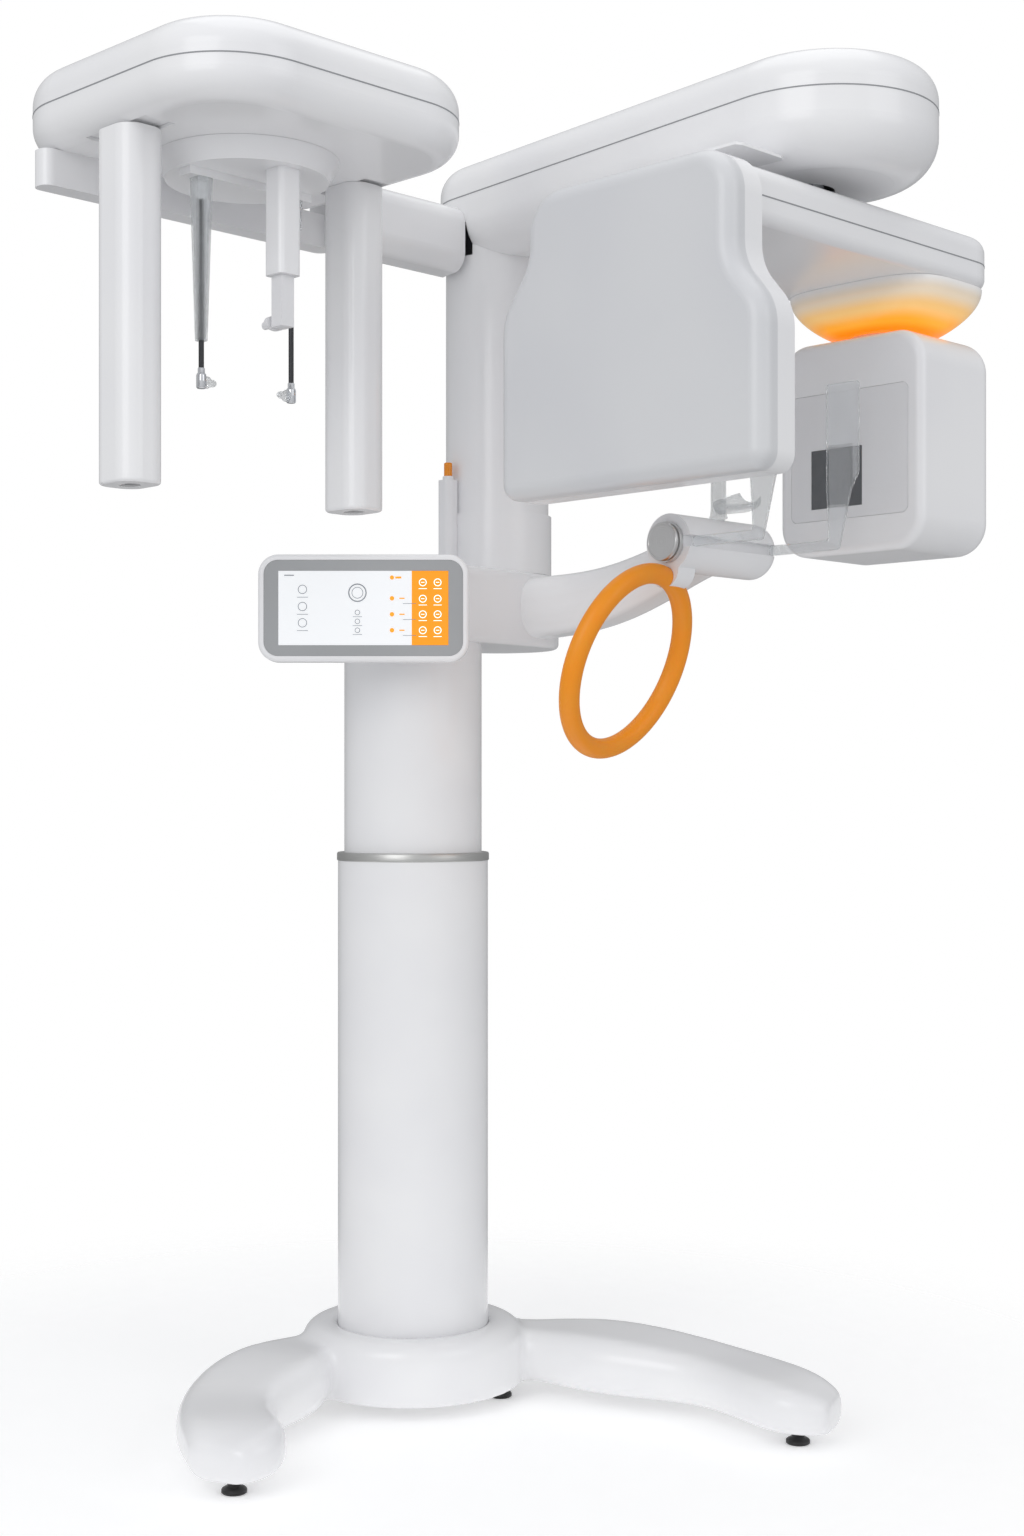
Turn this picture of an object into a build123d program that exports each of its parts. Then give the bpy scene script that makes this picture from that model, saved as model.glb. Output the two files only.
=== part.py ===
from build123d import *
import math
import os

# Floor-standing panoramic and cephalometric X-ray machine.
# Millimetres, +Z up.  The origin is on the floor under the axis of the lower column.
# The patient stands on the -Y side, facing the column, and the cephalometric arm runs to -X.

# ---- driving dimensions: base and column ----
FLOOR_GAP = 22.0          # underside of the base above the floor
HUB_R = 158.0
HUB_TOP_Z = 110.0
COLUMN_POCKET = 14.0      # depth the lower column stands in the hub
LEG_ROOT_WIDTH = 170.0
LEG_TIP_WIDTH = 126.0
LEG_TIP_HEIGHT = 62.0
LEFT_FOOT = (-446.0, -163.0)
RIGHT_FOOT = (205.0, -530.0)
LEFT_BOW = 0.22           # how far each leg bows sideways, as a share of its reach
RIGHT_BOW = 0.17
HUB_FEET = [(0.0, 0.0), (82.0, -95.0), (118.0, 40.0), (-20.0, 124.0)]
FOOT_PAD_R = 16.0
FOOT_PAD_T = 9.0
FOOT_STUD_R = 5.0
FOOT_STUD_INTO_BASE = 25.0
LOWER_COLUMN_R = 107.0
LOWER_COLUMN_WALL = 4.0
LOWER_COLUMN_TOP_Z = 764.0
COLLAR_T = 12.0
UPPER_COLUMN_R = 98.0
UPPER_COLUMN_WALL = 4.0
UPPER_COLUMN_FOOT_Z = 380.0
LIFT_DOWN = 240.0
RUN_FIT = 0.06            # radial clearance of a running fit
GAP = 0.3                 # clearance between covers and between bodies

# ---- driving dimensions: shoulder, tower and beam ----
SHOULDER_Z = 1072.0
SHOULDER_TOP_Z = 1180.0
SHOULDER_R = 106.0
TOWER_X = 169.0
TOWER_R = 76.0
TOWER_WALL = 3.0
BEAM_Z = 1640.0
BEAM_SEAM_Z = 1727.0
BEAM_TOP_Z = 1782.0
BEAM_ROOT_R = 84.0
BEAM_END_R = 145.0
BEAM_END_Y = -600.0
COVER_WALL = 4.0
ORBIT_Y = -540.0          # rotation axis of the scanning arm, in front of the column
ORBIT_TRAVEL = 25.0       # travel of that axis along the beam, each way
SHAFT_R = 34.0

# ---- driving dimensions: scanning arm ----
BRIDGE_Z = 1546.0
BRIDGE_TOP_Z = 1616.0
BRIDGE_HALF_WIDTH = 124.0
DETECTOR_FACE_X = -145.0
DETECTOR_THICKNESS = 62.0
DETECTOR_Z = 1232.0
DETECTOR_HALF_WIDTH = 214.0
DETECTOR_Y = -532.0
TUBE_X = 388.0
TUBE_DEPTH = 170.0
TUBE_WIDTH = 236.0
TUBE_Z = 1184.0
TUBE_TOP_Z = 1476.0
BOWL_FOOT_R = 64.0
NECK_R = 50.0
NECK_GAP = 8.0

# ---- driving dimensions: patient support ----
BAR_Y = -418.0
BAR_Z = 1190.0
BAR_R = 38.0
BAR_HALF_LENGTH = 96.0
ARM_WIDTH = 92.0
RING_R = 122.0
RING_TUBE_R = 13.5
RING_CENTRE = (40.0, -375.0, 1033.0)
CHIN_Y = -424.0
TEMPLE_Y = -570.0
TEMPLE_OPEN = 78.0        # each temple pad from the middle plane at rest

# ---- driving dimensions: cephalometric unit ----
CEPH_X = -377.0
CEPH_Y = -100.0
CEPH_PLATE_HALF = 226.0
CEPH_PLATE_CORNER = 120.0
CEPH_Z = 1664.0
CEPH_SEAM_Z = 1713.0
CEPH_TOP_Z = 1766.0
CEPH_ARM_Z = 1618.0
CEPH_ARM_TOP_Z = 1712.0
PILLAR_SPREAD = 179.0     # pillar axis from the ceph axis
PILLAR_Z = 1234.0
PILLAR_WIDTH = 62.0
PILLAR_DEPTH = 74.0
EAR_SPREAD = 72.0
EAR_TIP_Z = 1374.0
NASION_Y = -172.0

os.makedirs("parts", exist_ok=True)


def save(builder, name):
    """Label one finished piece and write it as its own STEP file."""
    builder.part.label = name
    export_step(builder.part, f"parts/{name}.step")


# ======== base ========
def leg_stations(tip, bow_share):
    """Centre line of one leg: it leaves the hub sideways and bows round to its foot."""
    reach = math.hypot(*tip)
    out = Vector(tip[0], tip[1], 0) / reach
    side = Vector(-out.Y, out.X, 0) * (-1 if tip[0] < 0 else 1)
    stations = []
    for share in (0.12, 0.4, 0.68, 0.9, 1.0, 1.09):
        bow = 4 * share * max(1.0 - share, 0.0) * bow_share * reach
        stations.append((share, out * (share * reach) + side * bow))
    return stations


def leg_sections(tip, bow_share):
    """Planes, widths and heights of the rounded sections that one leg is lofted through."""
    stations = leg_stations(tip, bow_share)
    sections = []
    for index, (share, centre) in enumerate(stations):
        before = stations[max(index - 1, 0)][1]
        after = stations[min(index + 1, len(stations) - 1)][1]
        along = (after - before).normalized()
        width = LEG_ROOT_WIDTH + (LEG_TIP_WIDTH - LEG_ROOT_WIDTH) * min(share, 1.0)
        full = HUB_TOP_Z - FLOOR_GAP
        height = full + (LEG_TIP_HEIGHT - full) * min(share, 1.0)
        if share > 1.0:
            width *= 0.62
            height *= 0.72
        centre = centre + Vector(0, 0, FLOOR_GAP + height / 2)
        plane = Plane(origin=centre, x_dir=along.cross(Vector(0, 0, 1)), z_dir=along)
        sections.append((plane, width, height))
    return sections


FEET = [LEFT_FOOT, RIGHT_FOOT] + HUB_FEET

with BuildPart() as base_casting:
    with BuildSketch(Plane.XY.offset(FLOOR_GAP)):
        Circle(HUB_R)
    extrude(amount=HUB_TOP_Z - FLOOR_GAP)
    fillet(base_casting.edges().group_by(Axis.Z)[-1], radius=26)
    for foot, bow_share in ((LEFT_FOOT, LEFT_BOW), (RIGHT_FOOT, RIGHT_BOW)):
        for plane, width, height in leg_sections(foot, bow_share):
            with BuildSketch(plane):
                RectangleRounded(width, height, height * 0.42)
        loft()
    with Locations((0, 0, HUB_TOP_Z)):
        Hole(radius=LOWER_COLUMN_R + GAP, depth=COLUMN_POCKET)
    with Locations([(x, y, FLOOR_GAP) for x, y in FEET]):
        Cylinder(
            FOOT_STUD_R + RUN_FIT,
            FOOT_STUD_INTO_BASE,
            align=(Align.CENTER, Align.CENTER, Align.MIN),
            mode=Mode.SUBTRACT,
        )
save(base_casting, "base_casting")

with BuildPart() as levelling_feet:
    with Locations([(x, y, 0) for x, y in FEET]):
        Cylinder(FOOT_PAD_R, FOOT_PAD_T, align=(Align.CENTER, Align.CENTER, Align.MIN))
    chamfer(levelling_feet.edges().group_by(Axis.Z)[-1], length=4)
    with Locations([(x, y, FOOT_PAD_T - 1) for x, y in FEET]):
        Cylinder(
            FOOT_STUD_R,
            FLOOR_GAP - FOOT_PAD_T + FOOT_STUD_INTO_BASE - 2,
            align=(Align.CENTER, Align.CENTER, Align.MIN),
        )
save(levelling_feet, "levelling_feet")

LOCK_NUT_T = 6.0
with BuildPart() as foot_lock_nuts:
    with BuildSketch(Plane.XY.offset(FLOOR_GAP - LOCK_NUT_T)):
        with Locations(FEET):
            RegularPolygon(radius=9.5, side_count=6)
        with Locations(FEET):
            Circle(FOOT_STUD_R + RUN_FIT, mode=Mode.SUBTRACT)
    extrude(amount=LOCK_NUT_T)
save(foot_lock_nuts, "foot_lock_nuts")

# ======== lower column, its collar and guides, and the lift actuator ========
COLUMN_FOOT_Z = HUB_TOP_Z - COLUMN_POCKET
with BuildPart() as lower_column:
    with BuildSketch(Plane.XY.offset(COLUMN_FOOT_Z)):
        Circle(LOWER_COLUMN_R)
        Circle(LOWER_COLUMN_R - LOWER_COLUMN_WALL, mode=Mode.SUBTRACT)
    extrude(amount=LOWER_COLUMN_TOP_Z - COLUMN_FOOT_Z)
save(lower_column, "lower_column")

with BuildPart() as column_collar:
    with BuildSketch(Plane.XY.offset(LOWER_COLUMN_TOP_Z)):
        Circle(LOWER_COLUMN_R + 1.5)
        Circle(UPPER_COLUMN_R + GAP, mode=Mode.SUBTRACT)
    extrude(amount=COLLAR_T)
    fillet(column_collar.edges().group_by(Axis.Z)[-1].sort_by(SortBy.LENGTH)[-1], radius=2)
save(column_collar, "column_collar")

GUIDE_T = 30.0
with BuildPart() as column_guides:
    for z in (LOWER_COLUMN_TOP_Z - GUIDE_T, LOWER_COLUMN_TOP_Z - 5 * GUIDE_T):
        with BuildSketch(Plane.XY.offset(z)):
            Circle(LOWER_COLUMN_R - LOWER_COLUMN_WALL)
            Circle(UPPER_COLUMN_R + RUN_FIT, mode=Mode.SUBTRACT)
        extrude(amount=GUIDE_T)
save(column_guides, "column_guides")

FLANGE_T = 14.0
FLANGE_BOLT_PCD_R = 84.0
ACTUATOR_R = 30.0
with BuildPart() as column_flange:
    with BuildSketch(Plane.XY.offset(COLUMN_FOOT_Z)):
        Circle(LOWER_COLUMN_R - LOWER_COLUMN_WALL)
        Circle(ACTUATOR_R, mode=Mode.SUBTRACT)
        with PolarLocations(FLANGE_BOLT_PCD_R, 6):
            Circle(5.5, mode=Mode.SUBTRACT)
    extrude(amount=FLANGE_T)
save(column_flange, "column_flange")

with BuildPart() as flange_bolts:
    with BuildSketch(Plane.XY.offset(COLUMN_FOOT_Z)):
        with PolarLocations(FLANGE_BOLT_PCD_R, 6):
            Circle(5.0)
    extrude(amount=FLANGE_T)
    with BuildSketch(Plane.XY.offset(COLUMN_FOOT_Z + FLANGE_T)):
        with PolarLocations(FLANGE_BOLT_PCD_R, 6):
            RegularPolygon(radius=9.0, side_count=6)
    extrude(amount=7)
save(flange_bolts, "flange_bolts")

ACTUATOR_TOP_Z = 620.0
ACTUATOR_ROD_R = 16.0
with BuildPart() as lift_actuator:
    with BuildSketch(Plane.XY.offset(COLUMN_FOOT_Z)):
        Circle(ACTUATOR_R)
    extrude(amount=ACTUATOR_TOP_Z - COLUMN_FOOT_Z)
    with BuildSketch(Plane.XY.offset(COLUMN_FOOT_Z + 10)):
        Circle(ACTUATOR_ROD_R + RUN_FIT)
    extrude(amount=ACTUATOR_TOP_Z - COLUMN_FOOT_Z, mode=Mode.SUBTRACT)
save(lift_actuator, "lift_actuator")

# ======== telescopic upper column and actuator rod, which rise together ========
ROD_FOOT_Z = COLUMN_FOOT_Z + 10 + LIFT_DOWN + 20
with BuildPart() as upper_column:
    with BuildSketch(Plane.XY.offset(UPPER_COLUMN_FOOT_Z)):
        Circle(UPPER_COLUMN_R)
        Circle(UPPER_COLUMN_R - UPPER_COLUMN_WALL, mode=Mode.SUBTRACT)
    extrude(amount=SHOULDER_Z - UPPER_COLUMN_FOOT_Z)
save(upper_column, "upper_column")

with BuildPart() as lift_rod:
    with BuildSketch(Plane.XY.offset(ROD_FOOT_Z)):
        Circle(ACTUATOR_ROD_R)
    extrude(amount=SHOULDER_Z - ROD_FOOT_Z)
save(lift_rod, "lift_rod")

# ======== shoulder casting: it joins the upper column to the tower ========
SHOULDER_WALL = 9.0
SHOULDER_TOWER_R = TOWER_R + 15.0
with BuildPart() as shoulder_casting:
    with BuildSketch(Plane.XY.offset(SHOULDER_Z)):
        Circle(SHOULDER_R)
        with Locations((TOWER_X, 0)):
            Circle(SHOULDER_TOWER_R)
        make_hull()
    extrude(amount=SHOULDER_TOP_Z - SHOULDER_Z)
    fillet(shoulder_casting.edges().group_by(Axis.Z)[0], radius=8)
    fillet(shoulder_casting.edges().group_by(Axis.Z)[-1], radius=14)
    with BuildSketch(Plane.XY.offset(SHOULDER_Z + SHOULDER_WALL)):
        Circle(SHOULDER_R - SHOULDER_WALL - 8)
        with Locations((TOWER_X, 0)):
            Circle(SHOULDER_TOWER_R - SHOULDER_WALL - 8)
        make_hull()
    extrude(amount=SHOULDER_TOP_Z - SHOULDER_Z - 2 * SHOULDER_WALL, mode=Mode.SUBTRACT)
    with BuildSketch(Plane.XY.offset(SHOULDER_TOP_Z - SHOULDER_WALL)):
        with Locations((TOWER_X, 0)):
            Circle(36)
    extrude(amount=SHOULDER_WALL, mode=Mode.SUBTRACT)
save(shoulder_casting, "shoulder_casting")

# ======== tower: painted cover round a square steel mast ========
MAST_HALF = 46.0
MAST_WALL = 5.0
MAST_TOP_Z = 1700.0
CEPH_TUBE_SIDE = 44.0
CEPH_TUBE_Z = (CEPH_ARM_Z + CEPH_ARM_TOP_Z) / 2
with BuildPart() as tower_cover:
    with BuildSketch(Plane.XY.offset(SHOULDER_TOP_Z)):
        with Locations((TOWER_X, 0)):
            Circle(TOWER_R)
            Circle(TOWER_R - TOWER_WALL, mode=Mode.SUBTRACT)
    extrude(amount=MAST_TOP_Z - 1 - SHOULDER_TOP_Z)
    with Locations((TOWER_X - TOWER_R, 0, CEPH_TUBE_Z)):
        Box(40, CEPH_TUBE_SIDE + 1, CEPH_TUBE_SIDE + 1, mode=Mode.SUBTRACT)
save(tower_cover, "tower_cover")

with BuildPart() as tower_mast:
    with BuildSketch(Plane.XY.offset(SHOULDER_TOP_Z)):
        with Locations((TOWER_X, 0)):
            RectangleRounded(2 * MAST_HALF, 2 * MAST_HALF, 8)
            Rectangle(2 * (MAST_HALF - MAST_WALL), 2 * (MAST_HALF - MAST_WALL), mode=Mode.SUBTRACT)
    extrude(amount=MAST_TOP_Z - SHOULDER_TOP_Z)
save(tower_mast, "tower_mast")

# ======== beam: frame plate and rails between a lower and an upper cover ========
BEAM_PLATE_T = 12.0
RAIL_SPREAD = 36.0
RAIL_SIDE = 12.0
RAIL_LENGTH = 150.0
SLOT_R = SHAFT_R + 8.0


def beam_outline(grow=0.0):
    """Plan of the beam: a small circle round the tower drawn out to a wide round end."""
    with BuildSketch(mode=Mode.PRIVATE) as plan:
        with Locations((TOWER_X, 0)):
            Circle(BEAM_ROOT_R + grow)
        with Locations((TOWER_X, BEAM_END_Y)):
            Circle(BEAM_END_R + grow)
        make_hull()
    return plan.sketch


with BuildPart() as beam_lower_cover:
    with BuildSketch(Plane.XY.offset(BEAM_Z)):
        add(beam_outline())
    extrude(amount=BEAM_SEAM_Z - BEAM_Z)
    fillet(beam_lower_cover.edges().group_by(Axis.Z)[0], radius=56)
    offset(amount=-COVER_WALL, openings=beam_lower_cover.faces().sort_by(Axis.Z)[-1])
    with BuildSketch(Plane.XY.offset(BEAM_Z)):
        with Locations((TOWER_X, ORBIT_Y)):
            SlotCenterToCenter(2 * ORBIT_TRAVEL, 2 * SLOT_R, rotation=90)
    extrude(amount=3 * COVER_WALL, mode=Mode.SUBTRACT)
    with BuildSketch(Plane.XY.offset(BEAM_Z)):
        with Locations((TOWER_X, 0)):
            Circle(TOWER_R + GAP)
    extrude(amount=BEAM_SEAM_Z - BEAM_Z, mode=Mode.SUBTRACT)
    with Locations((TOWER_X - BEAM_ROOT_R, 0, CEPH_TUBE_Z)):
        Box(40, CEPH_TUBE_SIDE + 1, CEPH_TUBE_SIDE + 1, mode=Mode.SUBTRACT)
save(beam_lower_cover, "beam_lower_cover")

with BuildPart() as beam_upper_cover:
    with BuildSketch(Plane.XY.offset(BEAM_SEAM_Z)):
        add(beam_outline())
    extrude(amount=BEAM_TOP_Z - BEAM_SEAM_Z)
    fillet(beam_upper_cover.edges().group_by(Axis.Z)[-1], radius=42)
    offset(amount=-COVER_WALL, openings=beam_upper_cover.faces().sort_by(Axis.Z)[0])
save(beam_upper_cover, "beam_upper_cover")

with BuildPart() as beam_frame:
    with BuildSketch(Plane.XY.offset(MAST_TOP_Z)):
        with Locations((TOWER_X, ORBIT_Y / 2 - 35)):
            RectangleRounded(2 * (MAST_HALF + 14), -ORBIT_Y + 140, 20)
    extrude(amount=BEAM_PLATE_T)
save(beam_frame, "beam_frame")

with BuildPart() as orbit_rails:
    with BuildSketch(Plane.XY.offset(MAST_TOP_Z - RAIL_SIDE)):
        with Locations((TOWER_X - RAIL_SPREAD, ORBIT_Y), (TOWER_X + RAIL_SPREAD, ORBIT_Y)):
            Rectangle(RAIL_SIDE, RAIL_LENGTH)
    extrude(amount=RAIL_SIDE)
save(orbit_rails, "orbit_rails")

# ======== orbit carriage: it slides on the rails and carries the shaft bearing ========
CARRIAGE_TOP_Z = MAST_TOP_Z - RAIL_SIDE - GAP
CARRIAGE_T = 10.0
BEARING_Z = BEAM_Z + COVER_WALL + 5.0
with BuildPart() as orbit_carriage:
    with BuildSketch(Plane.XY.offset(CARRIAGE_TOP_Z - CARRIAGE_T)):
        with Locations((TOWER_X, ORBIT_Y)):
            Rectangle(2 * RAIL_SPREAD + RAIL_SIDE, RAIL_LENGTH - 2 * ORBIT_TRAVEL)
    extrude(amount=CARRIAGE_T)
save(orbit_carriage, "orbit_carriage")

with BuildPart() as shaft_bearing:
    with BuildSketch(Plane.XY.offset(BEARING_Z)):
        with Locations((TOWER_X, ORBIT_Y)):
            Circle(SHAFT_R + 14)
            Circle(SHAFT_R + RUN_FIT, mode=Mode.SUBTRACT)
    extrude(amount=CARRIAGE_TOP_Z - CARRIAGE_T - BEARING_Z)
save(shaft_bearing, "shaft_bearing")

# ======== scanning arm: shaft, bridge, detector housing ========
with BuildPart() as rotor_shaft:
    with BuildSketch(Plane.XY.offset(BRIDGE_TOP_Z)):
        with Locations((TOWER_X, ORBIT_Y)):
            Circle(SHAFT_R)
            Circle(SHAFT_R - 9, mode=Mode.SUBTRACT)
    extrude(amount=CARRIAGE_TOP_Z - CARRIAGE_T - GAP - BRIDGE_TOP_Z)
save(rotor_shaft, "rotor_shaft")

DETECTOR_BACK_X = DETECTOR_FACE_X + DETECTOR_THICKNESS
BRIDGE_END_X = TUBE_X + TUBE_DEPTH / 2 + 12.0
BRIDGE_LENGTH = BRIDGE_END_X - DETECTOR_BACK_X
BRIDGE_MID_X = (BRIDGE_END_X + DETECTOR_BACK_X) / 2
BRIDGE_SEAM_Z = 1578.0
BRIDGE_CORNER = 60.0


def bridge_outline(inset):
    """Plan of the bridge: square where it meets the detector housing, round at the tube end."""
    with BuildSketch(mode=Mode.PRIVATE) as plan:
        with Locations((BRIDGE_MID_X, ORBIT_Y)):
            Rectangle(BRIDGE_LENGTH - 2 * inset, 2 * (BRIDGE_HALF_WIDTH - inset))
        fillet(plan.vertices().group_by(Axis.X)[-1], radius=BRIDGE_CORNER - inset)
    return plan.sketch


with BuildPart() as bridge_upper_cover:
    with BuildSketch(Plane.XY.offset(BRIDGE_SEAM_Z)):
        add(bridge_outline(0))
    extrude(amount=BRIDGE_TOP_Z - BRIDGE_SEAM_Z)
    top = bridge_upper_cover.edges().group_by(Axis.Z)[-1]
    fillet(top.filter_by(Axis.Y, reverse=True) + top.filter_by(Axis.Y).sort_by(Axis.X)[-1:], radius=22)
    with BuildSketch(Plane.XY.offset(BRIDGE_SEAM_Z)):
        add(bridge_outline(COVER_WALL + 8))
    extrude(amount=BRIDGE_TOP_Z - BRIDGE_SEAM_Z - COVER_WALL, mode=Mode.SUBTRACT)
save(bridge_upper_cover, "bridge_upper_cover")

with BuildPart() as bridge_lower_cover:
    with BuildSketch(Plane.XY.offset(BRIDGE_Z)):
        add(bridge_outline(0))
    extrude(amount=BRIDGE_SEAM_Z - BRIDGE_Z)
    bottom = bridge_lower_cover.edges().group_by(Axis.Z)[0].filter_by(Axis.X)
    fillet(bottom, radius=14)
    with BuildSketch(Plane.XY.offset(BRIDGE_Z + COVER_WALL)):
        add(bridge_outline(COVER_WALL + 8))
    extrude(amount=BRIDGE_SEAM_Z - BRIDGE_Z - COVER_WALL, mode=Mode.SUBTRACT)
save(bridge_lower_cover, "bridge_lower_cover")

with BuildPart() as bridge_frame:
    with BuildSketch(Plane.XY.offset(BRIDGE_SEAM_Z - 16)):
        with Locations((BRIDGE_MID_X, ORBIT_Y)):
            Rectangle(BRIDGE_LENGTH - 60, 150)
    extrude(amount=30)
    with BuildSketch(Plane.XY.offset(BRIDGE_SEAM_Z - 16)):
        with Locations((BRIDGE_MID_X, ORBIT_Y)):
            Rectangle(BRIDGE_LENGTH - 84, 126)
    extrude(amount=24, mode=Mode.SUBTRACT)
save(bridge_frame, "bridge_frame")

with BuildPart() as amber_bowl:
    with BuildSketch(Plane.XY.offset(BRIDGE_Z)):
        with Locations((TUBE_X, ORBIT_Y)):
            RectangleRounded(TUBE_DEPTH + 12, 2 * BRIDGE_HALF_WIDTH - 30, BRIDGE_CORNER)
    with BuildSketch(Plane.XY.offset(BRIDGE_Z - 32)):
        with Locations((TUBE_X, ORBIT_Y)):
            RectangleRounded(TUBE_DEPTH - 10, 2 * BRIDGE_HALF_WIDTH - 68, BRIDGE_CORNER + 12)
    with BuildSketch(Plane.XY.offset(TUBE_TOP_Z + NECK_GAP)):
        with Locations((TUBE_X, ORBIT_Y)):
            Circle(BOWL_FOOT_R)
    loft()
    with BuildSketch(Plane.XY.offset(TUBE_TOP_Z + NECK_GAP)):
        with Locations((TUBE_X, ORBIT_Y)):
            Circle(NECK_R + RUN_FIT)
    extrude(amount=BRIDGE_Z - TUBE_TOP_Z - NECK_GAP, mode=Mode.SUBTRACT)
save(amber_bowl, "amber_bowl")

# ======== detector housing: two covers round the sensor ========
DETECTOR_NECK_HALF = 166.0
DETECTOR_SHOULDER_Z = (1424.0, 1466.0)   # where the sides begin to draw in, -Y side and +Y side
DETECTOR_NECK_Z = (1480.0, 1530.0)
DETECTOR_SPLIT_X = DETECTOR_FACE_X + 30.0


def detector_outline(inset):
    """Front view of the detector housing: wide below, drawn in to a neck that meets the bridge."""
    half = DETECTOR_HALF_WIDTH - inset
    neck = DETECTOR_NECK_HALF - inset
    with BuildSketch(mode=Mode.PRIVATE) as outline:
        with BuildLine():
            Polyline(
                (DETECTOR_Y - half, DETECTOR_Z + inset),
                (DETECTOR_Y + half, DETECTOR_Z + inset),
                (DETECTOR_Y + half, DETECTOR_SHOULDER_Z[1]),
                (DETECTOR_Y + neck, DETECTOR_NECK_Z[1]),
                (DETECTOR_Y + neck, BRIDGE_TOP_Z - inset),
                (DETECTOR_Y - neck, BRIDGE_TOP_Z - inset),
                (DETECTOR_Y - neck, DETECTOR_NECK_Z[0]),
                (DETECTOR_Y - half, DETECTOR_SHOULDER_Z[0]),
                close=True,
            )
        make_face()
        levels = outline.vertices().group_by(Axis.Y)
        fillet(levels[0], radius=22 - inset / 2)
        fillet(outline.vertices().group_by(Axis.Y)[-1], radius=54 - inset)
        middle = [
            corner
            for corner in outline.vertices()
            if min(abs(corner.Y - z) for z in DETECTOR_SHOULDER_Z + DETECTOR_NECK_Z) < 1
        ]
        fillet(middle, radius=68)
    return outline.sketch


with BuildPart() as detector_front_cover:
    with BuildSketch(Plane.YZ.offset(DETECTOR_FACE_X)):
        add(detector_outline(0))
    extrude(amount=DETECTOR_SPLIT_X - DETECTOR_FACE_X)
    fillet(detector_front_cover.faces().sort_by(Axis.X)[0].edges(), radius=20)
    with BuildSketch(Plane.YZ.offset(DETECTOR_FACE_X + 8)):
        add(detector_outline(12))
    extrude(amount=DETECTOR_SPLIT_X - DETECTOR_FACE_X - 8, mode=Mode.SUBTRACT)
save(detector_front_cover, "detector_front_cover")

SENSOR_WINDOW = (30.0, 170.0)
SENSOR_Z = 1352.0
with BuildPart() as detector_back_cover:
    with BuildSketch(Plane.YZ.offset(DETECTOR_SPLIT_X)):
        add(detector_outline(0))
    extrude(amount=DETECTOR_BACK_X - DETECTOR_SPLIT_X)
    with BuildSketch(Plane.YZ.offset(DETECTOR_SPLIT_X)):
        add(detector_outline(12))
    extrude(amount=DETECTOR_BACK_X - DETECTOR_SPLIT_X - 8, mode=Mode.SUBTRACT)
    with BuildSketch(Plane.YZ.offset(DETECTOR_BACK_X - 8)):
        with Locations((ORBIT_Y, SENSOR_Z)):
            Rectangle(*SENSOR_WINDOW)
    extrude(amount=8, mode=Mode.SUBTRACT)
save(detector_back_cover, "detector_back_cover")

with BuildPart() as sensor_window:
    with BuildSketch(Plane.YZ.offset(DETECTOR_BACK_X - 8)):
        with Locations((ORBIT_Y, SENSOR_Z)):
            Rectangle(SENSOR_WINDOW[0] - 0.4, SENSOR_WINDOW[1] - 0.4)
    extrude(amount=6)
save(sensor_window, "sensor_window")

with BuildPart() as sensor_module:
    with BuildSketch(Plane.YZ.offset(DETECTOR_BACK_X - 8)):
        with Locations((ORBIT_Y, SENSOR_Z)):
            Rectangle(90, 200)
    extrude(amount=-28)
save(sensor_module, "sensor_module")

# ======== tube head: swivel neck, two covers, panel, window and the tube tank inside ========
TUBE_FACE_X = TUBE_X - TUBE_DEPTH / 2
TUBE_SPLIT_X = TUBE_FACE_X + 46.0
TUBE_CORNER = 44.0
TUBE_MID_Z = (TUBE_Z + TUBE_TOP_Z) / 2
PANEL_SIZE = (192.0, 172.0)
PANEL_Z = 1318.0
WINDOW_SIZE = (84.0, 80.0)
WINDOW_CENTRE = (-520.0, 1288.0)

with BuildPart() as tube_neck:
    with BuildSketch(Plane.XY.offset(TUBE_TOP_Z)):
        with Locations((TUBE_X, ORBIT_Y)):
            Circle(NECK_R)
            Circle(NECK_R - 8, mode=Mode.SUBTRACT)
    extrude(amount=BRIDGE_Z - TUBE_TOP_Z - GAP)
save(tube_neck, "tube_neck")


def tube_head_outline(inset):
    """Front view of the tube head: a rounded upright rectangle."""
    with BuildSketch(mode=Mode.PRIVATE) as outline:
        with Locations((ORBIT_Y, TUBE_MID_Z)):
            RectangleRounded(
                TUBE_WIDTH - 2 * inset, TUBE_TOP_Z - TUBE_Z - 2 * inset, TUBE_CORNER - inset
            )
    return outline.sketch


with BuildPart() as tube_head_front:
    with BuildSketch(Plane.YZ.offset(TUBE_FACE_X)):
        add(tube_head_outline(0))
    extrude(amount=TUBE_SPLIT_X - TUBE_FACE_X)
    fillet(tube_head_front.faces().sort_by(Axis.X)[0].edges(), radius=12)
    with BuildSketch(Plane.YZ.offset(TUBE_FACE_X + 7)):
        add(tube_head_outline(8))
    extrude(amount=TUBE_SPLIT_X - TUBE_FACE_X - 7, mode=Mode.SUBTRACT)
    with BuildSketch(Plane.YZ.offset(TUBE_FACE_X)):
        with Locations((ORBIT_Y, PANEL_Z)):
            RectangleRounded(PANEL_SIZE[0] + 1, PANEL_SIZE[1] + 1, 10)
    extrude(amount=2, mode=Mode.SUBTRACT)
save(tube_head_front, "tube_head_front")

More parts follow.
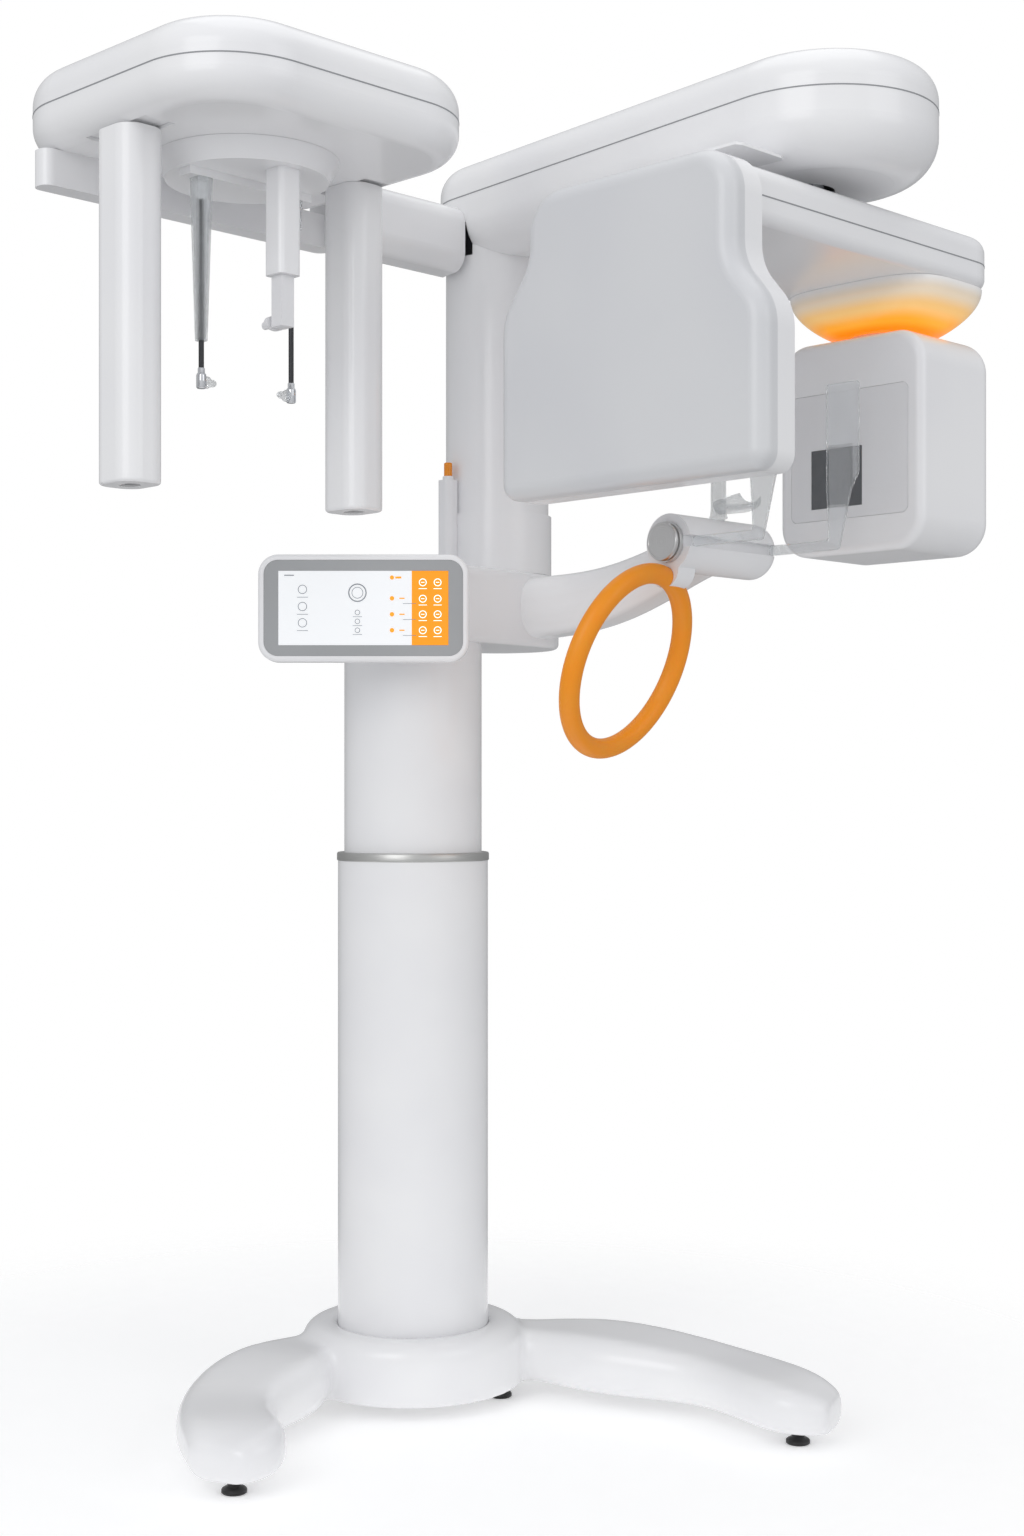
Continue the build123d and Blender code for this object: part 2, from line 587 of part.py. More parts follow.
with BuildPart() as tube_head_rear:
    with BuildSketch(Plane.YZ.offset(TUBE_SPLIT_X)):
        add(tube_head_outline(0))
    extrude(amount=TUBE_DEPTH - (TUBE_SPLIT_X - TUBE_FACE_X))
    fillet(tube_head_rear.faces().sort_by(Axis.X)[-1].edges(), radius=24)
    with BuildSketch(Plane.YZ.offset(TUBE_SPLIT_X)):
        add(tube_head_outline(12))
    extrude(amount=TUBE_DEPTH - (TUBE_SPLIT_X - TUBE_FACE_X) - 10, mode=Mode.SUBTRACT)
save(tube_head_rear, "tube_head_rear")

with BuildPart() as collimator_panel:
    with BuildSketch(Plane.YZ.offset(TUBE_FACE_X)):
        with Locations((ORBIT_Y, PANEL_Z)):
            RectangleRounded(*PANEL_SIZE, 9.5)
        with Locations(WINDOW_CENTRE):
            Rectangle(WINDOW_SIZE[0] + 0.6, WINDOW_SIZE[1] + 0.6, mode=Mode.SUBTRACT)
    extrude(amount=2)
save(collimator_panel, "collimator_panel")

with BuildPart() as collimator_window:
    with BuildSketch(Plane.YZ.offset(TUBE_FACE_X + 0.5)):
        with Locations(WINDOW_CENTRE):
            Rectangle(*WINDOW_SIZE)
    extrude(amount=1.5)
save(collimator_window, "collimator_window")

TANK_LENGTH = 96.0
with BuildPart() as tube_tank:
    with BuildSketch(Plane.XY.offset(TUBE_Z + 14)):
        with Locations((TUBE_X + 12, ORBIT_Y)):
            RectangleRounded(TANK_LENGTH, 150, 14)
    extrude(amount=TUBE_TOP_Z - TUBE_Z - 40)
save(tube_tank, "tube_tank")

# ======== patient support: arm, bar, ring handle, knob, chin rest and temple pads ========
ARM_STATIONS = [
    (-SHOULDER_TOWER_R + 6, 1128.0, ARM_WIDTH, 88.0),
    (-200.0, 1134.0, ARM_WIDTH, 80.0),
    (-290.0, 1152.0, ARM_WIDTH - 4, 70.0),
    (-360.0, 1174.0, ARM_WIDTH - 8, 62.0),
    (BAR_Y, BAR_Z, ARM_WIDTH - 10, 56.0),
]
RING_YAW = 10.0
RING_LEAN = 21.0
ring_across = Vector(math.cos(math.radians(RING_YAW)), math.sin(math.radians(RING_YAW)), 0)
ring_up = Vector(
    math.sin(math.radians(RING_YAW)) * math.sin(math.radians(RING_LEAN)),
    -math.cos(math.radians(RING_YAW)) * math.sin(math.radians(RING_LEAN)),
    math.cos(math.radians(RING_LEAN)),
)
RING_PLANE = Plane(origin=RING_CENTRE, x_dir=ring_across, z_dir=ring_across.cross(ring_up))
KNOB_R = 27.0
KNOB_T = 14.0
KNOB_SHAFT_R = 9.0
KNOB_SHAFT_LENGTH = 8.0
CHIN_POST_R = 9.0
CHIN_SOCKET_DEPTH = 30.0
TEMPLE_BLADE_T = 5.0
TEMPLE_RUNNER = 14.0

with BuildPart(RING_PLANE) as ring_handle:
    Torus(RING_R, RING_TUBE_R)
save(ring_handle, "ring_handle")

with BuildPart(RING_PLANE) as ring_channel:
    Torus(RING_R, RING_TUBE_R + GAP)

with BuildPart() as support_arm:
    for y, z, width, height in ARM_STATIONS:
        with BuildSketch(Plane.XZ.offset(-y)):
            with Locations((TOWER_X, z)):
                RectangleRounded(width, height, height * 0.4)
    loft()
    with BuildSketch(Plane.YZ.offset(TOWER_X - BAR_HALF_LENGTH)):
        with Locations((BAR_Y, BAR_Z)):
            Circle(BAR_R + GAP)
    extrude(amount=2 * BAR_HALF_LENGTH, mode=Mode.SUBTRACT)
    with BuildSketch(Plane.XY.offset(SHOULDER_Z)):
        Circle(SHOULDER_R)
        with Locations((TOWER_X, 0)):
            Circle(SHOULDER_TOWER_R)
        make_hull()
    extrude(amount=SHOULDER_TOP_Z - SHOULDER_Z, mode=Mode.SUBTRACT)
    add(ring_channel.part, mode=Mode.SUBTRACT)
save(support_arm, "support_arm")

with BuildPart() as support_bar:
    with BuildSketch(Plane.YZ.offset(TOWER_X - BAR_HALF_LENGTH)):
        with Locations((BAR_Y, BAR_Z)):
            Circle(BAR_R)
    extrude(amount=2 * BAR_HALF_LENGTH)
    fillet(support_bar.faces().sort_by(Axis.X)[-1].edges(), radius=22)
    with BuildSketch(Plane.YZ.offset(TOWER_X - BAR_HALF_LENGTH)):
        with Locations((BAR_Y + 8, BAR_Z - BAR_R + 4)):
            Circle(RING_TUBE_R + 12)
    extrude(amount=34)
    with BuildSketch(Plane.YZ.offset(TOWER_X - BAR_HALF_LENGTH)):
        with Locations((BAR_Y, BAR_Z)):
            Circle(KNOB_SHAFT_R + RUN_FIT)
    extrude(amount=KNOB_SHAFT_LENGTH, mode=Mode.SUBTRACT)
    with Locations((TOWER_X, CHIN_Y, BAR_Z + BAR_R - CHIN_SOCKET_DEPTH)):
        Cylinder(
            CHIN_POST_R + RUN_FIT,
            2 * CHIN_SOCKET_DEPTH,
            align=(Align.CENTER, Align.CENTER, Align.MIN),
            mode=Mode.SUBTRACT,
        )
    with Locations((TOWER_X, BAR_Y - BAR_R, BAR_Z)):
        Box(2 * (TEMPLE_OPEN + TEMPLE_BLADE_T + 16), 24, TEMPLE_RUNNER + 1, mode=Mode.SUBTRACT)
    add(ring_channel.part, mode=Mode.SUBTRACT)
save(support_bar, "support_bar")

with BuildPart() as adjusting_knob:
    with BuildSketch(Plane.YZ.offset(TOWER_X - BAR_HALF_LENGTH - GAP)):
        with Locations((BAR_Y, BAR_Z)):
            Circle(KNOB_R)
    extrude(amount=-KNOB_T)
    chamfer(adjusting_knob.faces().sort_by(Axis.X)[0].edges(), length=1.5)
    with BuildSketch(Plane.YZ.offset(TOWER_X - BAR_HALF_LENGTH - GAP)):
        with Locations((BAR_Y, BAR_Z)):
            Circle(KNOB_SHAFT_R)
    extrude(amount=KNOB_SHAFT_LENGTH - 1)
save(adjusting_knob, "adjusting_knob")

CHIN_CUP_Z = BAR_Z + BAR_R + 4.0
CHIN_STEM_TOP_Z = 1296.0
with BuildPart() as chin_rest:
    with BuildSketch(Plane.XY.offset(BAR_Z + BAR_R - CHIN_SOCKET_DEPTH + 1)):
        with Locations((TOWER_X, CHIN_Y)):
            Circle(CHIN_POST_R)
    extrude(amount=CHIN_SOCKET_DEPTH + CHIN_STEM_TOP_Z - BAR_Z - BAR_R)
    with BuildSketch(Plane.XY.offset(CHIN_CUP_Z)):
        with Locations((TOWER_X, CHIN_Y)):
            Circle(CHIN_POST_R + 6)
        with Locations((TOWER_X - 24, CHIN_Y - 46), (TOWER_X + 24, CHIN_Y - 46)):
            Circle(11)
        make_hull()
    extrude(amount=18)
    with Locations((TOWER_X, CHIN_Y - 50, CHIN_CUP_Z + 42)):
        Sphere(36, mode=Mode.SUBTRACT)
save(chin_rest, "chin_rest")

TEMPLE_PAD_TOP_Z = 1404.0
TEMPLE_PAD_FOOT_Z = 1262.0
TEMPLE_PAD_WIDTH = 52.0
for side, name in ((-1, "temple_pad_left"), (1, "temple_pad_right")):
    pad_x = TOWER_X + side * TEMPLE_OPEN
    inner_x = min(pad_x, pad_x + side * TEMPLE_BLADE_T)
    with BuildPart() as temple_pad:
        with BuildSketch(Plane.YZ.offset(inner_x)):
            with BuildLine():
                FilletPolyline(
                    (BAR_Y - BAR_R + 9, BAR_Z - TEMPLE_RUNNER / 2),
                    (TEMPLE_Y + 6, BAR_Z - TEMPLE_RUNNER / 2),
                    (TEMPLE_Y - 14, TEMPLE_PAD_FOOT_Z),
                    (TEMPLE_Y - TEMPLE_PAD_WIDTH / 2, TEMPLE_PAD_FOOT_Z + 20),
                    (TEMPLE_Y - TEMPLE_PAD_WIDTH / 2, TEMPLE_PAD_TOP_Z),
                    (TEMPLE_Y + TEMPLE_PAD_WIDTH / 2, TEMPLE_PAD_TOP_Z),
                    (TEMPLE_Y + TEMPLE_PAD_WIDTH / 2, TEMPLE_PAD_FOOT_Z),
                    (TEMPLE_Y + 22, BAR_Z + TEMPLE_RUNNER / 2),
                    (BAR_Y - BAR_R + 9, BAR_Z + TEMPLE_RUNNER / 2),
                    radius=5,
                    close=True,
                )
            make_face()
        extrude(amount=TEMPLE_BLADE_T)
    save(temple_pad, name)

# ======== touch screen on its tilting bracket ========
FACING = math.sqrt(0.5)
SCREEN_CENTRE = Vector(-169.0, -86.0, 1109.0)
SCREEN_RIGHT = Vector(FACING, -FACING, 0)
SCREEN_OUT = Vector(-FACING, -FACING, 0)
SCREEN_SIZE = (284.0, 145.0)
SCREEN_CORNER = 27.0
SCREEN_DEPTH = 22.0
BEZEL_SIZE = (268.0, 129.0)
DISPLAY_SIZE = (229.0, 100.0)
BEZEL_T = 2.5
PIVOT_BACK = 36.0         # tilt pivot behind the face of the screen
PIVOT_SHIFT = 28.0        # tilt pivot to the right of the screen's centre
PIVOT_R = 6.0
KNUCKLE_WIDTH = 40.0
KNUCKLE_R = 11.0
EAR_T = 10.0


def screen_plane(depth, shift=0.0):
    """Plane parallel to the screen, depth behind its face; x to the right, y up."""
    origin = SCREEN_CENTRE - SCREEN_OUT * depth + SCREEN_RIGHT * shift
    return Plane(origin=origin, x_dir=SCREEN_RIGHT, z_dir=SCREEN_OUT)


def pivot_plane(shift):
    """Plane square to the tilt pivot, shift along it from the middle of the knuckle."""
    origin = SCREEN_CENTRE - SCREEN_OUT * PIVOT_BACK + SCREEN_RIGHT * (PIVOT_SHIFT + shift)
    return Plane(origin=origin, x_dir=SCREEN_OUT, z_dir=SCREEN_RIGHT)


with BuildPart() as screen_housing:
    with BuildSketch(screen_plane(SCREEN_DEPTH)):
        RectangleRounded(*SCREEN_SIZE, SCREEN_CORNER)
    extrude(amount=SCREEN_DEPTH)
    fillet(screen_housing.edges().sort_by(Axis(SCREEN_CENTRE, SCREEN_OUT))[-8:], radius=5)
    with BuildSketch(screen_plane(BEZEL_T)):
        RectangleRounded(BEZEL_SIZE[0] + 0.6, BEZEL_SIZE[1] + 0.6, SCREEN_CORNER - 7.7)
    extrude(amount=BEZEL_T, mode=Mode.SUBTRACT)
    with BuildSketch(pivot_plane(-KNUCKLE_WIDTH / 2)):
        Circle(KNUCKLE_R)
        with Locations((KNUCKLE_R - 3, 0)):
            Rectangle(2 * KNUCKLE_R, 2 * KNUCKLE_R)
    extrude(amount=KNUCKLE_WIDTH)
    with BuildSketch(pivot_plane(-KNUCKLE_WIDTH / 2)):
        Circle(PIVOT_R + RUN_FIT)
    extrude(amount=KNUCKLE_WIDTH, mode=Mode.SUBTRACT)
save(screen_housing, "screen_housing")

with BuildPart() as screen_bezel:
    with BuildSketch(screen_plane(BEZEL_T)):
        RectangleRounded(*BEZEL_SIZE, SCREEN_CORNER - 8)
        Rectangle(DISPLAY_SIZE[0] + 0.4, DISPLAY_SIZE[1] + 0.4, mode=Mode.SUBTRACT)
    extrude(amount=BEZEL_T - 0.5)
save(screen_bezel, "screen_bezel")

with BuildPart() as display_panel:
    with BuildSketch(screen_plane(BEZEL_T)):
        Rectangle(*DISPLAY_SIZE)
    extrude(amount=BEZEL_T - 0.8)
save(display_panel, "display_panel")

BRACKET_HEIGHT = 44.0
with BuildPart() as screen_bracket:
    with BuildSketch(screen_plane(PIVOT_BACK + 14, PIVOT_SHIFT)):
        RectangleRounded(KNUCKLE_WIDTH + 2 * EAR_T + 1, BRACKET_HEIGHT, 8)
    extrude(amount=-46)
    for side in (-1, 1):
        with BuildSketch(pivot_plane(side * (KNUCKLE_WIDTH / 2 + 0.5 + EAR_T / 2) - EAR_T / 2)):
            Circle(KNUCKLE_R)
            with Locations((-KNUCKLE_R + 2, 0)):
                Rectangle(2 * KNUCKLE_R, 2 * KNUCKLE_R)
        extrude(amount=EAR_T)
    with BuildSketch(pivot_plane(-KNUCKLE_WIDTH / 2 - 2)):
        Circle(PIVOT_R)
    extrude(amount=KNUCKLE_WIDTH + 4)
    with BuildSketch(Plane.XY.offset(SHOULDER_Z)):
        Circle(SHOULDER_R)
    extrude(amount=SHOULDER_TOP_Z - SHOULDER_Z, mode=Mode.SUBTRACT)
save(screen_bracket, "screen_bracket")

# ======== sleeve at the foot of the tower, with the exposure hand switch in its cradle ========
SLEEVE_T = 4.0
SLEEVE_TOP_Z = 1268.0
CRADLE_TOP_Z = 1316.0
CRADLE_X = TOWER_X - TOWER_R - 11.0
CRADLE_Y = 14.0
SWITCH_R = 8.0
SWITCH_FOOT_Z = 1214.0
BUTTON_R = 6.0
BUTTON_TOP_Z = 1342.0
with BuildPart() as tower_sleeve:
    with BuildSketch(Plane.XY.offset(SHOULDER_TOP_Z)):
        with Locations((TOWER_X, 0)):
            Circle(TOWER_R + GAP + SLEEVE_T)
    extrude(amount=SLEEVE_TOP_Z - SHOULDER_TOP_Z)
    with BuildSketch(Plane.XY.offset(SHOULDER_TOP_Z)):
        with Locations((CRADLE_X, CRADLE_Y)):
            RectangleRounded(24, 26, 9)
    extrude(amount=CRADLE_TOP_Z - SHOULDER_TOP_Z)
    with BuildSketch(Plane.XY.offset(SHOULDER_TOP_Z)):
        with Locations((TOWER_X, 0)):
            Circle(TOWER_R + GAP)
    extrude(amount=CRADLE_TOP_Z - SHOULDER_TOP_Z, mode=Mode.SUBTRACT)
    with BuildSketch(Plane.XY.offset(SWITCH_FOOT_Z - 1)):
        with Locations((CRADLE_X, CRADLE_Y)):
            Circle(SWITCH_R + GAP)
    extrude(amount=CRADLE_TOP_Z - SWITCH_FOOT_Z + 1, mode=Mode.SUBTRACT)
save(tower_sleeve, "tower_sleeve")

with BuildPart() as hand_switch:
    with BuildSketch(Plane.XY.offset(SWITCH_FOOT_Z)):
        with Locations((CRADLE_X, CRADLE_Y)):
            Circle(SWITCH_R)
    extrude(amount=CRADLE_TOP_Z + 6 - SWITCH_FOOT_Z)
    fillet(hand_switch.edges().group_by(Axis.Z)[-1], radius=1)
    with BuildSketch(Plane.XY.offset(CRADLE_TOP_Z - 12)):
        with Locations((CRADLE_X, CRADLE_Y)):
            Circle(BUTTON_R + RUN_FIT)
    extrude(amount=18, mode=Mode.SUBTRACT)
save(hand_switch, "hand_switch")

with BuildPart() as exposure_button:
    with BuildSketch(Plane.XY.offset(CRADLE_TOP_Z - 7)):
        with Locations((CRADLE_X, CRADLE_Y)):
            Circle(BUTTON_R)
    extrude(amount=BUTTON_TOP_Z - CRADLE_TOP_Z + 7)
    fillet(exposure_button.edges().group_by(Axis.Z)[-1], radius=2)
save(exposure_button, "exposure_button")

# ======== cephalometric arm and head ========
CEPH_ARM_Y = 18.0
CEPH_ARM_HALF = 40.0
CEPH_ARM_STEP_X = CEPH_X + CEPH_PLATE_HALF + 8.0
TONGUE_Y = (26.0, 58.0)
TONGUE_END_X = -575.0
TONGUE_TOP_Z = CEPH_Z
with BuildPart() as ceph_arm:
    with BuildSketch(Plane.YZ.offset(CEPH_ARM_STEP_X)):
        with Locations((CEPH_ARM_Y, CEPH_TUBE_Z)):
            RectangleRounded(2 * CEPH_ARM_HALF, CEPH_ARM_TOP_Z - CEPH_ARM_Z, 26)
    extrude(amount=TOWER_X - CEPH_ARM_STEP_X)
    with BuildSketch(Plane.XY.offset(CEPH_ARM_Z)):
        add(beam_outline(GAP))
    extrude(amount=CEPH_ARM_TOP_Z - CEPH_ARM_Z, mode=Mode.SUBTRACT)
    with BuildSketch(Plane.YZ.offset(CEPH_ARM_STEP_X + 8)):
        with Locations((CEPH_ARM_Y, CEPH_TUBE_Z)):
            Rectangle(CEPH_TUBE_SIDE, CEPH_TUBE_SIDE)
    extrude(amount=TOWER_X - CEPH_ARM_STEP_X, mode=Mode.SUBTRACT)
    with BuildSketch(Plane.XY.offset(CEPH_ARM_Z)):
        with Locations(((TONGUE_END_X + CEPH_ARM_STEP_X) / 2, sum(TONGUE_Y) / 2)):
            RectangleRounded(CEPH_ARM_STEP_X - TONGUE_END_X + 40, TONGUE_Y[1] - TONGUE_Y[0], 14)
    extrude(amount=TONGUE_TOP_Z - CEPH_ARM_Z)
save(ceph_arm, "ceph_arm")

DETECTOR_PILLAR_X = CEPH_X - PILLAR_SPREAD
COLLIMATOR_PILLAR_X = CEPH_X + PILLAR_SPREAD
DETECTOR_PILLAR_TRAVEL = 36.0
COLLIMATOR_PILLAR_TRAVEL = 22.5
HANGER_X = 40.0
HANGER_Y = 50.0
EAR_PIVOT_R = 15.0


def ceph_outline():
    """Plan of the cephalometric head, a square with very round corners."""
    with BuildSketch(mode=Mode.PRIVATE) as plan:
        with Locations((CEPH_X, CEPH_Y)):
            RectangleRounded(2 * CEPH_PLATE_HALF, 2 * CEPH_PLATE_HALF, CEPH_PLATE_CORNER)
    return plan.sketch


with BuildPart() as ceph_lower_cover:
    with BuildSketch(Plane.XY.offset(CEPH_Z)):
        add(ceph_outline())
    extrude(amount=CEPH_SEAM_Z - CEPH_Z)
    fillet(ceph_lower_cover.edges().group_by(Axis.Z)[0], radius=34)
    offset(amount=-COVER_WALL, openings=ceph_lower_cover.faces().sort_by(Axis.Z)[-1])
    with BuildSketch(Plane.XY.offset(CEPH_Z)):
        with Locations((CEPH_X, CEPH_Y)):
            Circle(EAR_PIVOT_R + RUN_FIT)
        for x, travel in (
            (DETECTOR_PILLAR_X, DETECTOR_PILLAR_TRAVEL),
            (COLLIMATOR_PILLAR_X, COLLIMATOR_PILLAR_TRAVEL),
        ):
            with Locations((x, CEPH_Y)):
                Rectangle(HANGER_X + 3, HANGER_Y + 2 * travel + 3)
    extrude(amount=CEPH_SEAM_Z - CEPH_Z, mode=Mode.SUBTRACT)
save(ceph_lower_cover, "ceph_lower_cover")

with BuildPart() as ceph_upper_cover:
    with BuildSketch(Plane.XY.offset(CEPH_SEAM_Z)):
        add(ceph_outline())
    extrude(amount=CEPH_TOP_Z - CEPH_SEAM_Z)
    fillet(ceph_upper_cover.edges().group_by(Axis.Z)[-1], radius=42)
    offset(amount=-COVER_WALL, openings=ceph_upper_cover.faces().sort_by(Axis.Z)[0])
save(ceph_upper_cover, "ceph_upper_cover")

CEPH_RAIL_Z = 1704.0
CEPH_RAIL_T = 8.0
CEPH_PLATE_T = 6.0
RAIL_X_INSIDE = 14.0
with BuildPart() as ceph_rails:
    with BuildSketch(Plane.XY.offset(CEPH_RAIL_Z + CEPH_RAIL_T)):
        with Locations((CEPH_X, CEPH_Y)):
            RectangleRounded(2 * PILLAR_SPREAD + 56, 220, 30)
    extrude(amount=CEPH_PLATE_T)
    with BuildSketch(Plane.XY.offset(CEPH_RAIL_Z)):
        for x in (DETECTOR_PILLAR_X, COLLIMATOR_PILLAR_X):
            with Locations((x - RAIL_X_INSIDE, CEPH_Y), (x + RAIL_X_INSIDE, CEPH_Y)):
                Rectangle(8, 180)
    extrude(amount=CEPH_RAIL_T)
    with BuildSketch(Plane.XY.offset(CEPH_Z + COVER_WALL)):
        with Locations((CEPH_X, CEPH_Y + 100), (CEPH_X, CEPH_Y - 100)):
            Rectangle(60, 12)
    extrude(amount=CEPH_RAIL_Z + CEPH_RAIL_T - CEPH_Z - COVER_WALL)
save(ceph_rails, "ceph_rails")

PILLAR_WALL = 3.0
PILLAR_HOLE = (22.0, 30.0)
for x, name in (
    (DETECTOR_PILLAR_X, "detector_pillar"),
    (COLLIMATOR_PILLAR_X, "collimator_pillar"),
):
    with BuildPart() as pillar:
        with BuildSketch(Plane.XY.offset(PILLAR_Z)):
            with Locations((x, CEPH_Y)):
                RectangleRounded(PILLAR_WIDTH, PILLAR_DEPTH, 24)
        extrude(amount=CEPH_Z - GAP - PILLAR_Z)
        fillet(pillar.edges().group_by(Axis.Z)[0], radius=4)
        with BuildSketch(Plane.XY.offset(PILLAR_Z + PILLAR_WALL)):
            with Locations((x, CEPH_Y)):
                RectangleRounded(
                    PILLAR_WIDTH - 2 * PILLAR_WALL, PILLAR_DEPTH - 2 * PILLAR_WALL, 21
                )
        extrude(amount=CEPH_Z - 10 - PILLAR_Z - PILLAR_WALL, mode=Mode.SUBTRACT)
        with BuildSketch(Plane.XY.offset(PILLAR_Z)):
            with Locations((x, CEPH_Y)):
                SlotOverall(PILLAR_HOLE[1], PILLAR_HOLE[0], rotation=90)
        extrude(amount=2 * PILLAR_WALL, mode=Mode.SUBTRACT)
        with BuildSketch(Plane.XY.offset(CEPH_Z - GAP)):
            with Locations((x, CEPH_Y)):
                Rectangle(HANGER_X, HANGER_Y)
        extrude(amount=CEPH_RAIL_Z - CEPH_Z)
    save(pillar, name)

EAR_DISC_R = 118.0
EAR_DISC_Z = 1638.0
EAR_RAIL_Z = 1628.0
with BuildPart() as ear_carrier:
    with BuildSketch(Plane.XY.offset(EAR_DISC_Z)):
        with Locations((CEPH_X, CEPH_Y)):
            Circle(EAR_DISC_R - 14)
    with BuildSketch(Plane.XY.offset(CEPH_Z - GAP)):
        with Locations((CEPH_X, CEPH_Y)):
            Circle(EAR_DISC_R)
    loft()
    with BuildSketch(Plane.XY.offset(EAR_RAIL_Z)):
        with Locations((CEPH_X, CEPH_Y)):
            Rectangle(2 * EAR_SPREAD + 50, 22)
    extrude(amount=EAR_DISC_Z - EAR_RAIL_Z)
    with BuildSketch(Plane.XY.offset(CEPH_Z - GAP)):
        with Locations((CEPH_X, CEPH_Y)):
            Circle(EAR_PIVOT_R)
    extrude(amount=CEPH_RAIL_Z - CEPH_Z - 2)
save(ear_carrier, "ear_carrier")

EAR_SHEATH_Z = 1425.0
EAR_STEM_R = 3.5
EAR_TIP_R = 7.0
for side, name in ((-1, "ear_rod_left"), (1, "ear_rod_right")):
    rod_x = CEPH_X + side * EAR_SPREAD
    with BuildPart() as ear_rod:
        with BuildSketch(Plane.XY.offset(EAR_SHEATH_Z)):
            with Locations((rod_x, CEPH_Y)):
                RectangleRounded(16, 16, 4)
        with BuildSketch(Plane.XY.offset(EAR_RAIL_Z - GAP)):
            with Locations((rod_x, CEPH_Y)):
                RectangleRounded(26, 26, 6)
        loft()
        with BuildSketch(Plane.XY.offset(EAR_TIP_Z - 8)):
            with Locations((rod_x, CEPH_Y)):
                Circle(EAR_STEM_R)
        extrude(amount=EAR_SHEATH_Z - EAR_TIP_Z + 8)
        with BuildSketch(Plane.XY.offset(EAR_TIP_Z - 9)):
            with Locations((rod_x, CEPH_Y)):
                Circle(EAR_TIP_R)
        extrude(amount=18)
        with BuildSketch(Plane.YZ.offset(rod_x - side * 2)):
            with Locations((CEPH_Y, EAR_TIP_Z)):
                Circle(8)
        extrude(amount=-side * 22, taper=12)
    save(ear_rod, name)

NASION_WIDTH = 34.0
NASION_POST_Z = 1506.0
SLIDER_WIDTH = 20.0
SLIDER_Z = 1442.0
SLIDER_INSIDE = 90.0
with BuildPart() as nasion_post:
    with BuildSketch(Plane.XY.offset(NASION_POST_Z)):
        with Locations((CEPH_X, NASION_Y)):
            RectangleRounded(NASION_WIDTH, NASION_WIDTH, 7)
            Rectangle(SLIDER_WIDTH + 2 * GAP, SLIDER_WIDTH + 2 * GAP, mode=Mode.SUBTRACT)
    extrude(amount=EAR_DISC_Z - NASION_POST_Z)
save(nasion_post, "nasion_post")

with BuildPart() as nasion_slider:
    with BuildSketch(Plane.XY.offset(SLIDER_Z)):
        with Locations((CEPH_X, NASION_Y)):
            Rectangle(SLIDER_WIDTH, SLIDER_WIDTH)
    extrude(amount=NASION_POST_Z - SLIDER_Z + SLIDER_INSIDE)
    with BuildSketch(Plane.XZ.offset(-NASION_Y - SLIDER_WIDTH / 2)):
        with Locations((CEPH_X, SLIDER_Z + 7)):
            Circle(5)
    extrude(amount=-26)
    with BuildSketch(Plane.XZ.offset(-NASION_Y - SLIDER_WIDTH / 2 - 3)):
        with Locations((CEPH_X, SLIDER_Z + 7)):
            Ellipse(15, 9)
    extrude(amount=-6)
save(nasion_slider, "nasion_slider")
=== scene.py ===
import bmesh
import bpy
import math
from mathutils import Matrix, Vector


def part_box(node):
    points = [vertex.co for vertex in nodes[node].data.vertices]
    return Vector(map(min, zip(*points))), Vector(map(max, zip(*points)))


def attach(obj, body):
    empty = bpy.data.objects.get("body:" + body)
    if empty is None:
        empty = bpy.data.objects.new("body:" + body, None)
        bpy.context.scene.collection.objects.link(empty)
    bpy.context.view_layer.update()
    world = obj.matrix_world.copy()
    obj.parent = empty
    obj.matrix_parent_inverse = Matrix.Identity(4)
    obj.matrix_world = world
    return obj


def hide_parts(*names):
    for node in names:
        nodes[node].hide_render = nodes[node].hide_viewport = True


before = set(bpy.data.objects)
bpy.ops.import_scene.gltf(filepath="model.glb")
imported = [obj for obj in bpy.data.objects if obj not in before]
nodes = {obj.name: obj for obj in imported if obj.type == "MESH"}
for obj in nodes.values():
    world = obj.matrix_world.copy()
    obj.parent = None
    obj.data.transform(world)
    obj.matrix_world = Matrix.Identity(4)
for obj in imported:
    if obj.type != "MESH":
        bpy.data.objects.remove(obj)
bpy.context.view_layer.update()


# ---- Studio: a pale floor under soft light ----
# A white sweep lies under the machine and fades into a white backdrop.  Three soft boxes
# and a room that is brighter above and on the camera's side shade the white shells.
def linear(code):
    """Turn an sRGB hex colour to the linear colour that shaders take."""
    channels = [int(code[i:i + 2], 16) / 255 for i in (0, 2, 4)]
    curve = [c / 12.92 if c <= 0.04045 else ((c + 0.055) / 1.055) ** 2.4 for c in channels]
    return (*curve, 1.0)


def add(tree, kind, feeds=None, **settings):
    """Add one shader node with its settings; feeds gives each input a value or a link."""
    made = tree.nodes.new(kind)
    for name, value in settings.items():
        setattr(made, name, value)
    for name, value in (feeds or {}).items():
        if isinstance(value, bpy.types.NodeSocket):
            tree.links.new(value, made.inputs[name])
        else:
            made.inputs[name].default_value = value
    return made


def blank(name):
    """Give a new material and its emptied node tree."""
    material = bpy.data.materials.new(name)
    material.use_nodes = True
    material.node_tree.nodes.clear()
    return material, material.node_tree


def place(name, mesh, material):
    """Put a finished mesh in the scene with its material."""
    piece = bpy.data.objects.new(name, mesh)
    bpy.context.scene.collection.objects.link(piece)
    mesh.materials.clear()
    mesh.materials.append(material)
    return piece


